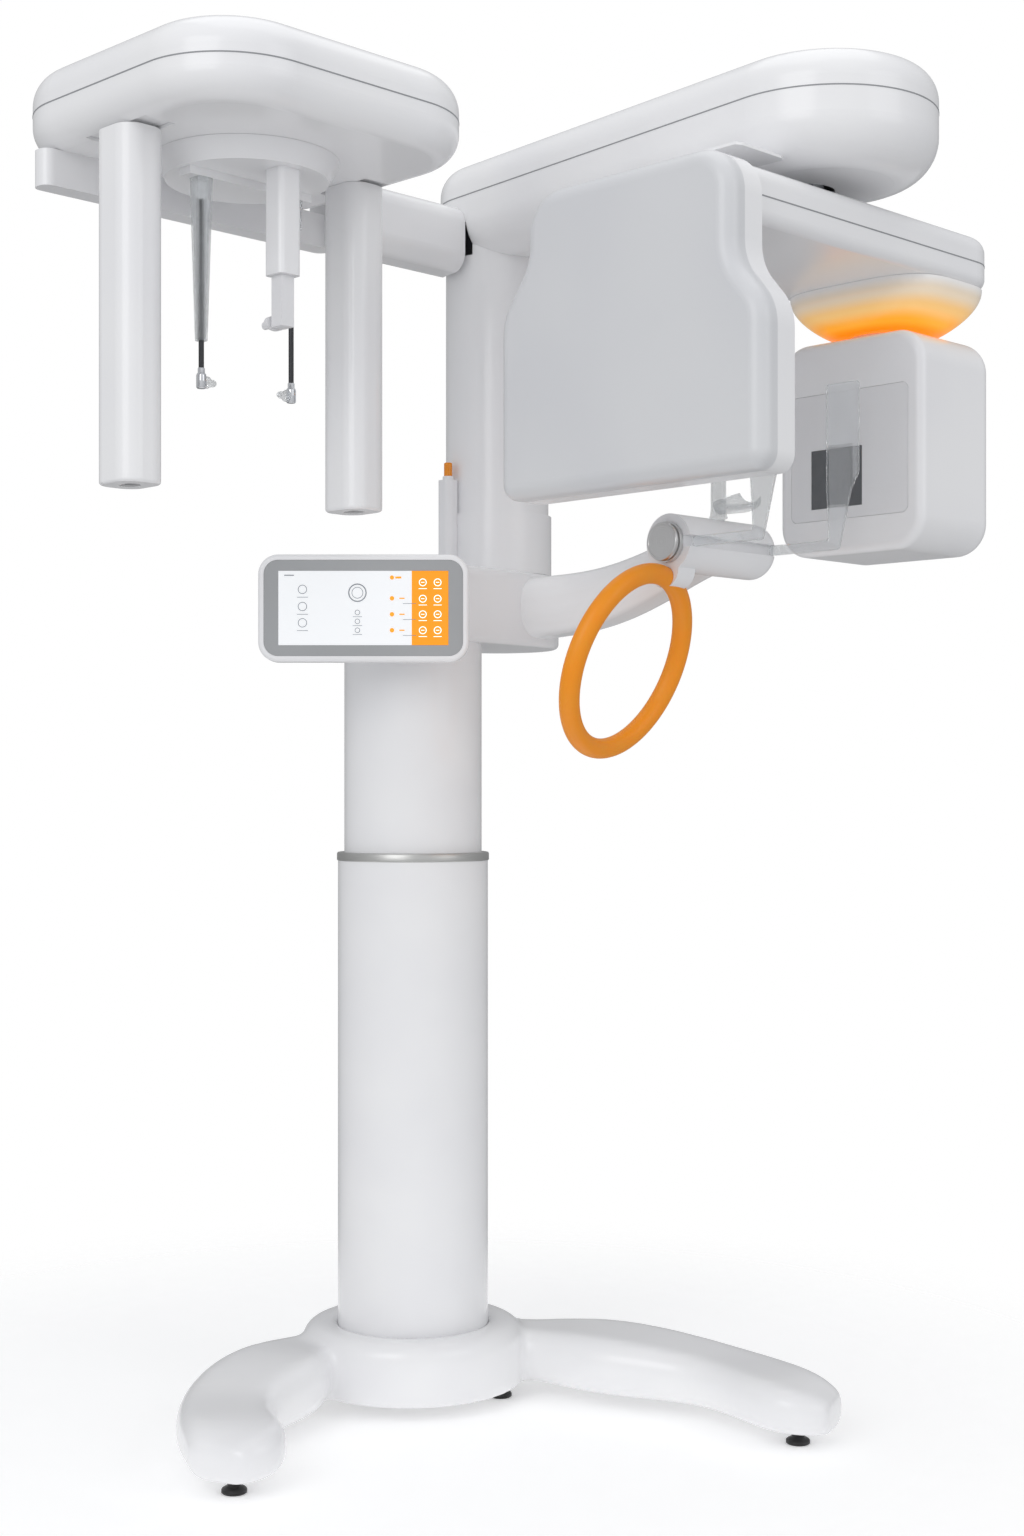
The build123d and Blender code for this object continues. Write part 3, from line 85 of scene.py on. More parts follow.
LENS = 50.5
CAMERA_AT = Vector((-2.078, -2.278, 0.864))
LOOK_ALONG = Vector((1, 1, 0))
camera_data = bpy.data.cameras.new("camera")
camera_data.sensor_fit = "VERTICAL"
camera_data.sensor_height = 36.0
camera_data.lens = LENS
camera_data.shift_y = 0.0143
camera_data.clip_end = 60.0
camera = bpy.data.objects.new("camera", camera_data)
camera.location = CAMERA_AT
camera.rotation_euler = LOOK_ALONG.to_track_quat("-Z", "Y").to_euler()
bpy.context.scene.collection.objects.link(camera)
bpy.context.scene.camera = camera

SWEEP_SIZE = 14.0
sweep_paper, tree = blank("sweep_paper")
grain = add(tree, "ShaderNodeTexNoise", {"Scale": 260.0, "Detail": 2.0})
tone = add(tree, "ShaderNodeValToRGB", {"Fac": grain.outputs["Fac"]})
tone.color_ramp.elements[0].color = linear("fbfbfb")
tone.color_ramp.elements[1].color = linear("ffffff")
surface = add(tree, "ShaderNodeBsdfPrincipled", {
    "Base Color": tone.outputs["Color"], "Roughness": 0.7, "Specular IOR Level": 0.2,
    "Emission Color": linear("ffffff"), "Emission Strength": 0.22})
place_in = add(tree, "ShaderNodeTexCoord")
reach = add(tree, "ShaderNodeVectorMath", {0: place_in.outputs["Object"]}, operation="LENGTH")
fade = add(tree, "ShaderNodeMapRange", {
    "Value": reach.outputs["Value"], "From Min": 0.55, "From Max": 1.3},
    interpolation_type="SMOOTHSTEP")
clear_air = add(tree, "ShaderNodeBsdfTransparent")
sweep = add(tree, "ShaderNodeMixShader", {"Fac": fade.outputs["Result"]})
tree.links.new(surface.outputs["BSDF"], sweep.inputs[1])
tree.links.new(clear_air.outputs["BSDF"], sweep.inputs[2])
add(tree, "ShaderNodeOutputMaterial", {"Surface": sweep.outputs["Shader"]})
mesh = bpy.data.meshes.new("studio_floor")
half = SWEEP_SIZE / 2
mesh.from_pydata(
    [(-half, -half, 0), (half, -half, 0), (half, half, 0), (-half, half, 0)], [], [(0, 1, 2, 3)])
place("studio_floor", mesh, sweep_paper)

BRIGHT_SIDE = (-0.6, -0.6, 0.53)
world = bpy.data.worlds.new("white_room")
world.use_nodes = True
tree = world.node_tree
tree.nodes.clear()
toward = add(tree, "ShaderNodeTexCoord")
lean = add(tree, "ShaderNodeVectorMath", {0: toward.outputs["Generated"], 1: BRIGHT_SIDE},
           operation="DOT_PRODUCT")
level = add(tree, "ShaderNodeMapRange", {
    "Value": lean.outputs["Value"], "From Min": -1.0, "From Max": 1.0,
    "To Min": 0.28, "To Max": 0.86})
room = add(tree, "ShaderNodeBackground", {
    "Color": linear("f7f8fa"), "Strength": level.outputs["Result"]})
backdrop = add(tree, "ShaderNodeBackground", {"Color": linear("ffffff"), "Strength": 1.0})
ray = add(tree, "ShaderNodeLightPath")
seen = add(tree, "ShaderNodeMixShader", {"Fac": ray.outputs["Is Camera Ray"]})
tree.links.new(room.outputs["Background"], seen.inputs[1])
tree.links.new(backdrop.outputs["Background"], seen.inputs[2])
add(tree, "ShaderNodeOutputWorld", {"Surface": seen.outputs["Shader"]})
bpy.context.scene.world = world
bpy.context.scene.view_settings.view_transform = "Standard"

LIT_POINT = Vector((0, -0.1, 1.0))
for name, spot, size, power in (
    ("soft_box_left", (-3.4, -1.2, 2.6), 2.2, 24.0),
    ("soft_box_front", (0.6, -3.6, 2.4), 1.8, 8.0),
    ("soft_box_top", (0.2, -0.2, 3.9), 2.6, 16.0),
):
    light = bpy.data.lights.new(name, "AREA")
    light.shape = "SQUARE"
    light.size = size
    light.energy = power
    lamp = bpy.data.objects.new(name, light)
    lamp.location = spot
    lamp.rotation_euler = (LIT_POINT - Vector(spot)).to_track_quat("-Z", "Y").to_euler()
    bpy.context.scene.collection.objects.link(lamp)

# ---- Base: one cast and painted foot with two long legs ----
# Cast iron, ground smooth and powder coated white.  The two legs flow out of the round
# hub without an edge, so the casting is drawn as one skin with soft inner corners.
CASTING_VOXEL = 0.0045
CASTING_BLEND_PASSES = 26
POCKET_R = 0.1073
POCKET_FLOOR_Z = 0.096


def powder_coat(name, colour, shade):
    """White powder coat: baked paint, even and glossy, with a faint soft orange peel."""
    material, tree = blank(name)
    place_in = add(tree, "ShaderNodeTexCoord")
    drift = add(tree, "ShaderNodeTexNoise", {
        "Vector": place_in.outputs["Object"], "Scale": 7.0, "Detail": 2.0})
    tone = add(tree, "ShaderNodeValToRGB", {"Fac": drift.outputs["Fac"]})
    tone.color_ramp.elements[0].position = 0.3
    tone.color_ramp.elements[0].color = linear(shade)
    tone.color_ramp.elements[1].position = 0.7
    tone.color_ramp.elements[1].color = linear(colour)
    # the real peel is 2 mm across; 5 mm is the finest that shows
    peel = add(tree, "ShaderNodeTexNoise", {
        "Vector": place_in.outputs["Object"], "Scale": 200.0, "Detail": 1.0})
    raised = add(tree, "ShaderNodeBump", {
        "Height": peel.outputs["Fac"], "Strength": 0.05, "Distance": 0.0004})
    surface = add(tree, "ShaderNodeBsdfPrincipled", {
        "Base Color": tone.outputs["Color"], "Roughness": 0.26, "IOR": 1.5,
        "Coat Weight": 0.35, "Coat Roughness": 0.12, "Normal": raised.outputs["Normal"]})
    add(tree, "ShaderNodeOutputMaterial", {"Surface": surface.outputs["BSDF"]})
    return material


white_powder_coat = powder_coat("white_powder_coat", "f4f4f5", "efeff1")


def cast_skin(node, name, voxel, passes, keep_z=None):
    """Redraw a CAD casting as one smooth skin whose inner corners are blended."""
    source = nodes[node]
    low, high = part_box(node)
    mesh = source.data.copy()
    skin = bpy.data.objects.new(name + "_raw", mesh)
    bpy.context.scene.collection.objects.link(skin)
    remesh = skin.modifiers.new("voxels", "REMESH")
    remesh.mode = "VOXEL"
    remesh.voxel_size = voxel
    soften = skin.modifiers.new("soften", "SMOOTH")
    soften.factor = 0.5
    soften.iterations = passes
    view = bpy.context.evaluated_depsgraph_get()
    done = bpy.data.meshes.new_from_object(skin.evaluated_get(view))
    bpy.data.objects.remove(skin)
    for point in done.vertices:
        for axis in range(3):
            point.co[axis] = min(max(point.co[axis], low[axis]), high[axis])
        if keep_z is not None:
            keep_z(point)
    for face in done.polygons:
        face.use_smooth = True
    done.name = name
    return done


def keep_pocket(point):
    """Hold the column pocket round and flat where the smoothing has crept into it."""
    reach = math.hypot(point.co.x, point.co.y)
    if point.co.z > POCKET_FLOOR_Z - 0.004 and reach < POCKET_R:
        point.co.z = min(point.co.z, POCKET_FLOOR_Z - 0.001)


base_skin = place("base_skin", cast_skin(
    "base_casting", "base_skin", CASTING_VOXEL, CASTING_BLEND_PASSES, keep_pocket),
    white_powder_coat)
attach(base_skin, "base")
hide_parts("base_casting")


# ---- Levelling feet: six screwed feet with lock nuts ----
# A moulded black nylon pad on a zinc-plated M10 stud.  The lock nut holds each foot
# against the casting once the machine stands level.
def lathe(name, profile, centre, turns=48, axis="Z"):
    """Turn a profile of (radius, height) points round an axis through centre."""
    mesh = bpy.data.meshes.new(name)
    shape = bmesh.new()
    rings = []
    for radius, height in profile:
        ring = []
        for step in range(turns):
            angle = 2 * math.pi * step / turns
            a, b = radius * math.cos(angle), radius * math.sin(angle)
            offset = {"Z": (a, b, height), "X": (height, a, b), "Y": (b, height, a)}[axis]
            ring.append(shape.verts.new(Vector(centre) + Vector(offset)))
        rings.append(ring)
    for low, high in zip(rings, rings[1:]):
        for step in range(turns):
            after = (step + 1) % turns
            shape.faces.new((low[step], low[after], high[after], high[step]))
    shape.faces.new(list(reversed(rings[0])))
    shape.faces.new(rings[-1])
    bmesh.ops.recalc_face_normals(shape, faces=shape.faces)
    shape.to_mesh(mesh)
    shape.free()
    for face in mesh.polygons:
        face.use_smooth = len(face.vertices) == 4
    return mesh


def joined(name, meshes):
    """Join several meshes into one."""
    shape = bmesh.new()
    for mesh in meshes:
        shape.from_mesh(mesh)
    whole = bpy.data.meshes.new(name)
    shape.to_mesh(whole)
    shape.free()
    return whole


FOOT_PLACES = (
    (-0.446, -0.163), (0.205, -0.530), (0.0, 0.0), (0.082, -0.095), (0.118, 0.040), (-0.020, 0.124))
FOOT_PROFILE = (
    (0.0145, 0.0), (0.0160, 0.0012), (0.0160, 0.0046), (0.0150, 0.0060), (0.0120, 0.0078),
    (0.0085, 0.0090), (0.0085, 0.0108), (0.0050, 0.0112), (0.0050, 0.0215))

black_nylon, tree = blank("moulded_black_nylon")
place_in = add(tree, "ShaderNodeTexCoord")
grit = add(tree, "ShaderNodeTexNoise", {"Vector": place_in.outputs["Object"], "Scale": 900.0})
spread = add(tree, "ShaderNodeMapRange", {
    "Value": grit.outputs["Fac"], "To Min": 0.32, "To Max": 0.5})
raised = add(tree, "ShaderNodeBump", {
    "Height": grit.outputs["Fac"], "Strength": 0.15, "Distance": 0.0002})
surface = add(tree, "ShaderNodeBsdfPrincipled", {
    "Base Color": linear("141415"), "Roughness": spread.outputs["Result"], "IOR": 1.53,
    "Normal": raised.outputs["Normal"]})
add(tree, "ShaderNodeOutputMaterial", {"Surface": surface.outputs["BSDF"]})

feet = place("levelling_pads", joined(
    "levelling_pads",
    [lathe("pad", FOOT_PROFILE, (x, y, 0.0)) for x, y in FOOT_PLACES]), black_nylon)
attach(feet, "base")
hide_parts("levelling_feet")


def machined(name, colour, shade, roughness, pitch):
    """Bare machined metal: fine parallel tool marks that stretch the highlights."""
    material, tree = blank(name)
    place_in = add(tree, "ShaderNodeTexCoord")
    marks = add(tree, "ShaderNodeTexNoise", {
        "Vector": place_in.outputs["Object"], "Scale": 1 / pitch, "Detail": 3.0})
    tone = add(tree, "ShaderNodeValToRGB", {"Fac": marks.outputs["Fac"]})
    tone.color_ramp.elements[0].color = linear(shade)
    tone.color_ramp.elements[1].color = linear(colour)
    raised = add(tree, "ShaderNodeBump", {
        "Height": marks.outputs["Fac"], "Strength": 0.12, "Distance": 0.0002})
    surface = add(tree, "ShaderNodeBsdfPrincipled", {
        "Base Color": tone.outputs["Color"], "Metallic": 1.0, "Roughness": roughness,
        "Normal": raised.outputs["Normal"]})
    add(tree, "ShaderNodeOutputMaterial", {"Surface": surface.outputs["BSDF"]})
    return material


def coat(node, material):
    """Give a CAD node its finish."""
    mesh = nodes[node].data
    mesh.materials.clear()
    mesh.materials.append(material)


zinc_plated_steel = machined("zinc_plated_steel", "b9bcc0", "a4a8ac", 0.3, 0.004)
coat("foot_lock_nuts", zinc_plated_steel)


# ---- Lower column: the fixed tube of the lift ----
# A round steel tube, powder coated like the base, that stands in the pocket of the hub on
# a bolted flange.  A brushed stainless collar closes its top.
for node in ("lower_column", "upper_column", "shoulder_casting", "screen_bracket"):
    coat(node, white_powder_coat)

black_oxide_steel = machined("black_oxide_steel", "2c2d2f", "1e1f20", 0.45, 0.003)
coat("column_flange", black_oxide_steel)
coat("flange_bolts", zinc_plated_steel)

COLLAR_INNER_R = 0.0983
COLLAR_R = 0.1085
COLLAR_PROFILE = (
    (COLLAR_INNER_R, 0.764), (COLLAR_R - 0.001, 0.764), (COLLAR_R, 0.765), (COLLAR_R, 0.7738),
    (COLLAR_R - 0.0012, 0.7756), (COLLAR_R - 0.003, 0.776), (COLLAR_INNER_R + 0.001, 0.776),
    (COLLAR_INNER_R, 0.7755))
COLLAR_TURNS = 128

brushed_stainless, tree = blank("brushed_stainless")
place_in = add(tree, "ShaderNodeTexCoord")
# turned on a lathe, so the 0.3 mm scratches run round it; drawn at 1 mm to show
squeeze = add(tree, "ShaderNodeMapping", {
    "Vector": place_in.outputs["Object"], "Scale": (8, 8, 1000)})
scratches = add(tree, "ShaderNodeTexNoise", {"Vector": squeeze.outputs["Vector"], "Detail": 3.0})
tone = add(tree, "ShaderNodeValToRGB", {"Fac": scratches.outputs["Fac"]})
tone.color_ramp.elements[0].color = linear("a8a8a6")
tone.color_ramp.elements[1].color = linear("d2d2d0")
raised = add(tree, "ShaderNodeBump", {
    "Height": scratches.outputs["Fac"], "Strength": 0.2, "Distance": 0.0003})
surface = add(tree, "ShaderNodeBsdfPrincipled", {
    "Base Color": tone.outputs["Color"], "Metallic": 1.0, "Roughness": 0.32,
    "Anisotropic": 0.4, "Normal": raised.outputs["Normal"]})
add(tree, "ShaderNodeOutputMaterial", {"Surface": surface.outputs["BSDF"]})


def ring_mesh(name, profile, centre, turns, axis="Z"):
    """Turn a closed profile into a ring."""
    mesh = bpy.data.meshes.new(name)
    shape = bmesh.new()
    rings = []
    for step in range(turns):
        angle = 2 * math.pi * step / turns
        ring = []
        for radius, height in profile:
            a, b = radius * math.cos(angle), radius * math.sin(angle)
            offset = {"Z": (a, b, height), "X": (height, a, b)}[axis]
            ring.append(shape.verts.new(Vector(centre) + Vector(offset)))
        rings.append(ring)
    for step in range(turns):
        here, there = rings[step], rings[(step + 1) % turns]
        for k in range(len(profile)):
            m = (k + 1) % len(profile)
            shape.faces.new((here[k], there[k], there[m], here[m]))
    bmesh.ops.recalc_face_normals(shape, faces=shape.faces)
    shape.to_mesh(mesh)
    shape.free()
    for face in mesh.polygons:
        face.use_smooth = True
    return mesh


def sharpen(mesh, degrees=35):
    """Keep edges sharp where the surface turns by more than this angle."""
    shape = bmesh.new()
    shape.from_mesh(mesh)
    for edge in shape.edges:
        if len(edge.link_faces) == 2 and edge.calc_face_angle(0) > math.radians(degrees):
            edge.smooth = False
    shape.to_mesh(mesh)
    shape.free()


mesh = ring_mesh("collar_ring", COLLAR_PROFILE, (0, 0, 0), COLLAR_TURNS)
sharpen(mesh)
collar = place("collar_ring", mesh, brushed_stainless)
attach(collar, "base")
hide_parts("column_collar")


# ---- Inside the column: guides, actuator and rod ----
# Two nylon bushes guide the upper tube.  An anodised aluminium actuator pushes its ground
# and chromed rod, which lifts the whole upper half of the machine.
natural_nylon, tree = blank("natural_nylon")
place_in = add(tree, "ShaderNodeTexCoord")
cloud = add(tree, "ShaderNodeTexNoise", {"Vector": place_in.outputs["Object"], "Scale": 60.0})
tone = add(tree, "ShaderNodeValToRGB", {"Fac": cloud.outputs["Fac"]})
tone.color_ramp.elements[0].color = linear("3a3b3e")
tone.color_ramp.elements[1].color = linear("46474a")
surface = add(tree, "ShaderNodeBsdfPrincipled", {
    "Base Color": tone.outputs["Color"], "Roughness": 0.5, "IOR": 1.53})
add(tree, "ShaderNodeOutputMaterial", {"Surface": surface.outputs["BSDF"]})
coat("column_guides", natural_nylon)

milled_aluminium = machined("milled_aluminium", "c6c8cb", "b2b5b8", 0.36, 0.005)
for node in ("lift_actuator", "tower_mast", "beam_frame", "orbit_carriage", "bridge_frame",
             "sensor_module", "tube_tank", "ceph_rails"):
    coat(node, milled_aluminium)

hard_chrome, tree = blank("hard_chrome")
place_in = add(tree, "ShaderNodeTexCoord")
haze = add(tree, "ShaderNodeTexNoise", {"Vector": place_in.outputs["Object"], "Scale": 90.0})
spread = add(tree, "ShaderNodeMapRange", {
    "Value": haze.outputs["Fac"], "To Min": 0.05, "To Max": 0.13})
surface = add(tree, "ShaderNodeBsdfPrincipled", {
    "Base Color": linear("d9dbde"), "Metallic": 1.0, "Roughness": spread.outputs["Result"]})
add(tree, "ShaderNodeOutputMaterial", {"Surface": surface.outputs["BSDF"]})
coat("lift_rod", hard_chrome)


# ---- Tower: the round white post above the shoulder ----
# A painted cover round a square steel mast.  The moulded sleeve at its foot hides the
# joint and carries the cradle of the hand switch.
def gloss_abs(name, colour, shade, roughness=0.2):
    """Injection-moulded ABS: bright, glossy, with a very soft moulded waviness."""
    material, tree = blank(name)
    place_in = add(tree, "ShaderNodeTexCoord")
    drift = add(tree, "ShaderNodeTexNoise", {
        "Vector": place_in.outputs["Object"], "Scale": 5.0, "Detail": 1.0})
    tone = add(tree, "ShaderNodeValToRGB", {"Fac": drift.outputs["Fac"]})
    tone.color_ramp.elements[0].position = 0.35
    tone.color_ramp.elements[0].color = linear(shade)
    tone.color_ramp.elements[1].position = 0.65
    tone.color_ramp.elements[1].color = linear(colour)
    # sink marks 40 mm across that bend the reflections a little
    wave = add(tree, "ShaderNodeTexNoise", {
        "Vector": place_in.outputs["Object"], "Scale": 25.0, "Detail": 0.0})
    raised = add(tree, "ShaderNodeBump", {
        "Height": wave.outputs["Fac"], "Strength": 0.03, "Distance": 0.001})
    surface = add(tree, "ShaderNodeBsdfPrincipled", {
        "Base Color": tone.outputs["Color"], "Roughness": roughness, "IOR": 1.54,
        "Normal": raised.outputs["Normal"]})
    add(tree, "ShaderNodeOutputMaterial", {"Surface": surface.outputs["BSDF"]})
    return material


gloss_white_abs = gloss_abs("gloss_white_abs", "f5f5f6", "f1f1f3")
for node in ("tower_cover", "tower_sleeve"):
    coat(node, gloss_white_abs)


# ---- Beam: two moulded covers round the frame plate ----
# The upper and the lower cover meet in a fine dark joint line.  The rails and carriage
# inside shift the turning unit.  The slot shutter is misplaced: it belongs at x 0.169.
for node in ("beam_lower_cover", "beam_upper_cover"):
    coat(node, gloss_white_abs)
JOINT_GAP = 0.0016
JOINT_RELIEF = 0.0004
BEAM_SEAM_Z = 1.727
dark_joint, tree = blank("dark_joint")
place_in = add(tree, "ShaderNodeTexCoord")
dust = add(tree, "ShaderNodeTexNoise", {"Vector": place_in.outputs["Object"], "Scale": 60.0})
tone = add(tree, "ShaderNodeValToRGB", {"Fac": dust.outputs["Fac"]})
tone.color_ramp.elements[0].color = linear("8e9093")
tone.color_ramp.elements[1].color = linear("9a9c9f")
surface = add(tree, "ShaderNodeBsdfPrincipled", {
    "Base Color": tone.outputs["Color"], "Roughness": 0.6})
add(tree, "ShaderNodeOutputMaterial", {"Surface": surface.outputs["BSDF"]})


def joint_line(name, node, level, body):
    """The shadow line of a joint: a thin closed band round a cover just under its rim."""
    shape = bmesh.new()
    shape.from_mesh(nodes[node].data)
    cut = bmesh.ops.bisect_plane(
        shape, geom=shape.verts[:] + shape.edges[:] + shape.faces[:],
        plane_co=(0, 0, level - JOINT_GAP / 2), plane_no=(0, 0, 1))["geom_cut"]
    edges = [e for e in cut if isinstance(e, bmesh.types.BMEdge)]
    sides = {}
    for edge in edges:
        for face in edge.link_faces:
            for vert in edge.verts:
                sides[vert] = sides.get(vert, Vector()) + face.normal
    points, faces, start = [], [], {}
    for vert, side in sides.items():
        out = Vector((side.x, side.y, 0)).normalized() * JOINT_RELIEF
        start[vert] = len(points)
        for push, lift in ((-1, -1), (1, -1), (1, 1), (-1, 1)):
            points.append(vert.co + out * push + Vector((0, 0, lift * JOINT_GAP / 2)))
    for edge in edges:
        one, two = (start[vert] for vert in edge.verts)
        for k in range(4):
            after = (k + 1) % 4
            faces.append((one + k, one + after, two + after, two + k))
    shape.free()
    mesh = bpy.data.meshes.new(name)
    mesh.from_pydata(points, [], faces)
    line = place(name, mesh, dark_joint)
    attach(line, body)


joint_line("beam_joint", "beam_lower_cover", BEAM_SEAM_Z, "lift")


def slot_shutter(name, centre, half, z, hole, body):
    """A white plate that closes a travel slot from inside, with a round hole for its shaft."""
    turns = 64
    points = []
    for level in z:
        for radius in (None, hole):
            for k in range(turns):
                c = math.cos(2 * math.pi * k / turns)
                s = math.sin(2 * math.pi * k / turns)
                reach = radius or 1 / max(abs(c) / half[0], abs(s) / half[1])
                points.append((centre[0] + reach * c, centre[1] + reach * s, level))
    loops = (0, 1, 3, 2)
    faces = []
    for step, loop in enumerate(loops):
        here, there = loop * turns, loops[(step + 1) % 4] * turns
        for k in range(turns):
            after = (k + 1) % turns
            faces.append((here + k, here + after, there + after, there + k))
    mesh = bpy.data.meshes.new(name)
    mesh.from_pydata(points, [], faces)
    plate = place(name, mesh, gloss_white_abs)
    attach(plate, body)


ORBIT_SHUTTER_HALF = (0.047, 0.092)
ORBIT_SHUTTER_Z = (1.6442, 1.6475)
ORBIT_HOLE_R = 0.0345
slot_shutter("orbit_shutter", (0.0, -0.540), ORBIT_SHUTTER_HALF, ORBIT_SHUTTER_Z,
             ORBIT_HOLE_R, "orbit")
ground_steel = machined("ground_steel", "b4b7ba", "9da1a5", 0.25, 0.003)
for node in ("orbit_rails", "shaft_bearing", "rotor_shaft"):
    coat(node, ground_steel)


# ---- Turning unit: bridge, detector housing and lamp bowl ----
# Moulded ABS covers round an aluminium frame.  The detector housing hangs at one end, and
# the amber lamp bowl closes the other end above the tube head.
for node in ("bridge_upper_cover", "bridge_lower_cover", "detector_back_cover"):
    coat(node, gloss_white_abs)
# Painted shade: the detector's front cover is white ABS like the rest of the housing, drawn light
# grey to stand for the shade on its face toward the camera; only its satin finish is its own.
satin_abs_painted_shade = gloss_abs("satin_abs_painted_shade", "dcdddf", "d8d9dc", 0.3)
coat("detector_front_cover", satin_abs_painted_shade)
smoked_polycarbonate, tree = blank("smoked_polycarbonate")
place_in = add(tree, "ShaderNodeTexCoord")
dust = add(tree, "ShaderNodeTexNoise", {"Vector": place_in.outputs["Object"], "Scale": 40.0})
tone = add(tree, "ShaderNodeValToRGB", {"Fac": dust.outputs["Fac"]})
tone.color_ramp.elements[0].color = linear("55575a")
tone.color_ramp.elements[1].color = linear("626468")
surface = add(tree, "ShaderNodeBsdfPrincipled", {
    "Base Color": tone.outputs["Color"], "Roughness": 0.16, "IOR": 1.58})
add(tree, "ShaderNodeOutputMaterial", {"Surface": surface.outputs["BSDF"]})
for node in ("sensor_window", "collimator_window"):
    coat(node, smoked_polycarbonate)
BRIDGE_SEAM_Z = 1.578
joint_line("bridge_joint", "bridge_lower_cover", BRIDGE_SEAM_Z, "scanning_arm")

# The bowl is one translucent polycarbonate moulding with a ring of lamps at its foot, so
# it glows deep amber below and fades to white where it meets the bridge.
BOWL_CENTRE = (0.388, -0.540)
BOWL_TOP_Z = 1.5457
BOWL_FOOT_Z = 1.4845
BOWL_TOP_HALF = (0.097, 0.122)
BOWL_FOOT_R = 0.0635
BOWL_BORE_R = 0.0504
BOWL_LEVELS = 18
BOWL_TURNS = 96


def bowl_point(level, step):
    """One point of the bowl's skin: round at the foot, squarer towards the rim."""
    rise = level / BOWL_LEVELS
    swell = math.sin(rise * math.pi / 2) ** 0.72
    angle = 2 * math.pi * step / BOWL_TURNS
    power = 2 / (2 + 1.6 * swell)
    c, s = math.cos(angle), math.sin(angle)
    half = [BOWL_FOOT_R + (top - BOWL_FOOT_R) * swell for top in BOWL_TOP_HALF]
    return Vector((
        BOWL_CENTRE[0] + half[0] * math.copysign(abs(c) ** power, c),
        BOWL_CENTRE[1] + half[1] * math.copysign(abs(s) ** power, s),
        BOWL_FOOT_Z + (BOWL_TOP_Z - BOWL_FOOT_Z) * rise))


shape = bmesh.new()
rings = [[shape.verts.new(bowl_point(level, step)) for step in range(BOWL_TURNS)]
         for level in range(BOWL_LEVELS + 1)]
for z in (BOWL_TOP_Z, BOWL_FOOT_Z):
    rings.append([shape.verts.new((
        BOWL_CENTRE[0] + BOWL_BORE_R * math.cos(2 * math.pi * step / BOWL_TURNS),
        BOWL_CENTRE[1] + BOWL_BORE_R * math.sin(2 * math.pi * step / BOWL_TURNS), z))
        for step in range(BOWL_TURNS)])
for k, here in enumerate(rings):
    there = rings[(k + 1) % len(rings)]
    for step in range(BOWL_TURNS):
        after = (step + 1) % BOWL_TURNS
        shape.faces.new((here[step], here[after], there[after], there[step]))
bmesh.ops.recalc_face_normals(shape, faces=shape.faces)
mesh = bpy.data.meshes.new("lamp_bowl")
shape.to_mesh(mesh)
shape.free()
for face in mesh.polygons:
    face.use_smooth = True
sharpen(mesh)

lit_polycarbonate, tree = blank("lit_polycarbonate")
place_in = add(tree, "ShaderNodeTexCoord")
axes = add(tree, "ShaderNodeSeparateXYZ", {"Vector": place_in.outputs["Object"]})
rise = add(tree, "ShaderNodeMapRange", {
    "Value": axes.outputs["Z"], "From Min": BOWL_FOOT_Z, "From Max": BOWL_TOP_Z})
glow = add(tree, "ShaderNodeValToRGB", {"Fac": rise.outputs["Result"]})
glow.color_ramp.interpolation = "EASE"
glow.color_ramp.elements[0].color = linear("ff8f00")
glow.color_ramp.elements[1].color = linear("f6f4f2")
for spot, code in ((0.16, "ffad2c"), (0.42, "ffcd80"), (0.72, "fbe8cd")):
    glow.color_ramp.elements.new(spot).color = linear(code)
lamp = add(tree, "ShaderNodeMapRange", {
    "Value": rise.outputs["Result"], "From Min": 0.0, "From Max": 0.8,
    "To Min": 0.55, "To Max": 0.05})
surface = add(tree, "ShaderNodeBsdfPrincipled", {
    "Base Color": glow.outputs["Color"], "Roughness": 0.18, "IOR": 1.58,
    "Emission Color": glow.outputs["Color"], "Emission Strength": lamp.outputs["Result"]})
add(tree, "ShaderNodeOutputMaterial", {"Surface": surface.outputs["BSDF"]})
bowl = place("lamp_bowl", mesh, lit_polycarbonate)
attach(bowl, "scanning_arm")
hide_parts("amber_bowl")


# ---- Tube head: the X-ray source under the bowl ----
# Two glossy ABS shells closed round the oil tank.  A satin panel with a smoked beam window
# is let into the face that looks at the patient.
for node in ("tube_head_front", "tube_head_rear", "tube_neck"):
    coat(node, gloss_white_abs)
satin_white_abs = gloss_abs("satin_white_abs", "ececee", "e8e8ea", 0.34)
coat("collimator_panel", satin_white_abs)


# ---- Patient support: curved arm, bar and ring handle ----
# Moulded white shells over a steel arm, with an orange ring of soft polyurethane that the
# patient holds with both hands.
for node in ("support_arm", "support_bar"):
    coat(node, gloss_white_abs)

orange_polyurethane, tree = blank("orange_polyurethane")
place_in = add(tree, "ShaderNodeTexCoord")
mottle = add(tree, "ShaderNodeTexNoise", {"Vector": place_in.outputs["Object"], "Scale": 30.0})
tone = add(tree, "ShaderNodeValToRGB", {"Fac": mottle.outputs["Fac"]})
tone.color_ramp.elements[0].position = 0.3
tone.color_ramp.elements[0].color = linear("ff9800")
tone.color_ramp.elements[1].position = 0.7
tone.color_ramp.elements[1].color = linear("fb9b12")
# moulded leather grain, 1 mm in the real grip, drawn at 2.5 mm
skin_grain = add(tree, "ShaderNodeTexNoise", {
    "Vector": place_in.outputs["Object"], "Scale": 400.0, "Detail": 2.0})
raised = add(tree, "ShaderNodeBump", {
    "Height": skin_grain.outputs["Fac"], "Strength": 0.12, "Distance": 0.0004})
surface = add(tree, "ShaderNodeBsdfPrincipled", {
    "Base Color": tone.outputs["Color"], "Roughness": 0.42, "IOR": 1.5,
    "Subsurface Weight": 0.08, "Subsurface Radius": (0.01, 0.004, 0.001),
    "Subsurface Scale": 0.5, "Normal": raised.outputs["Normal"]})
add(tree, "ShaderNodeOutputMaterial", {"Surface": surface.outputs["BSDF"]})

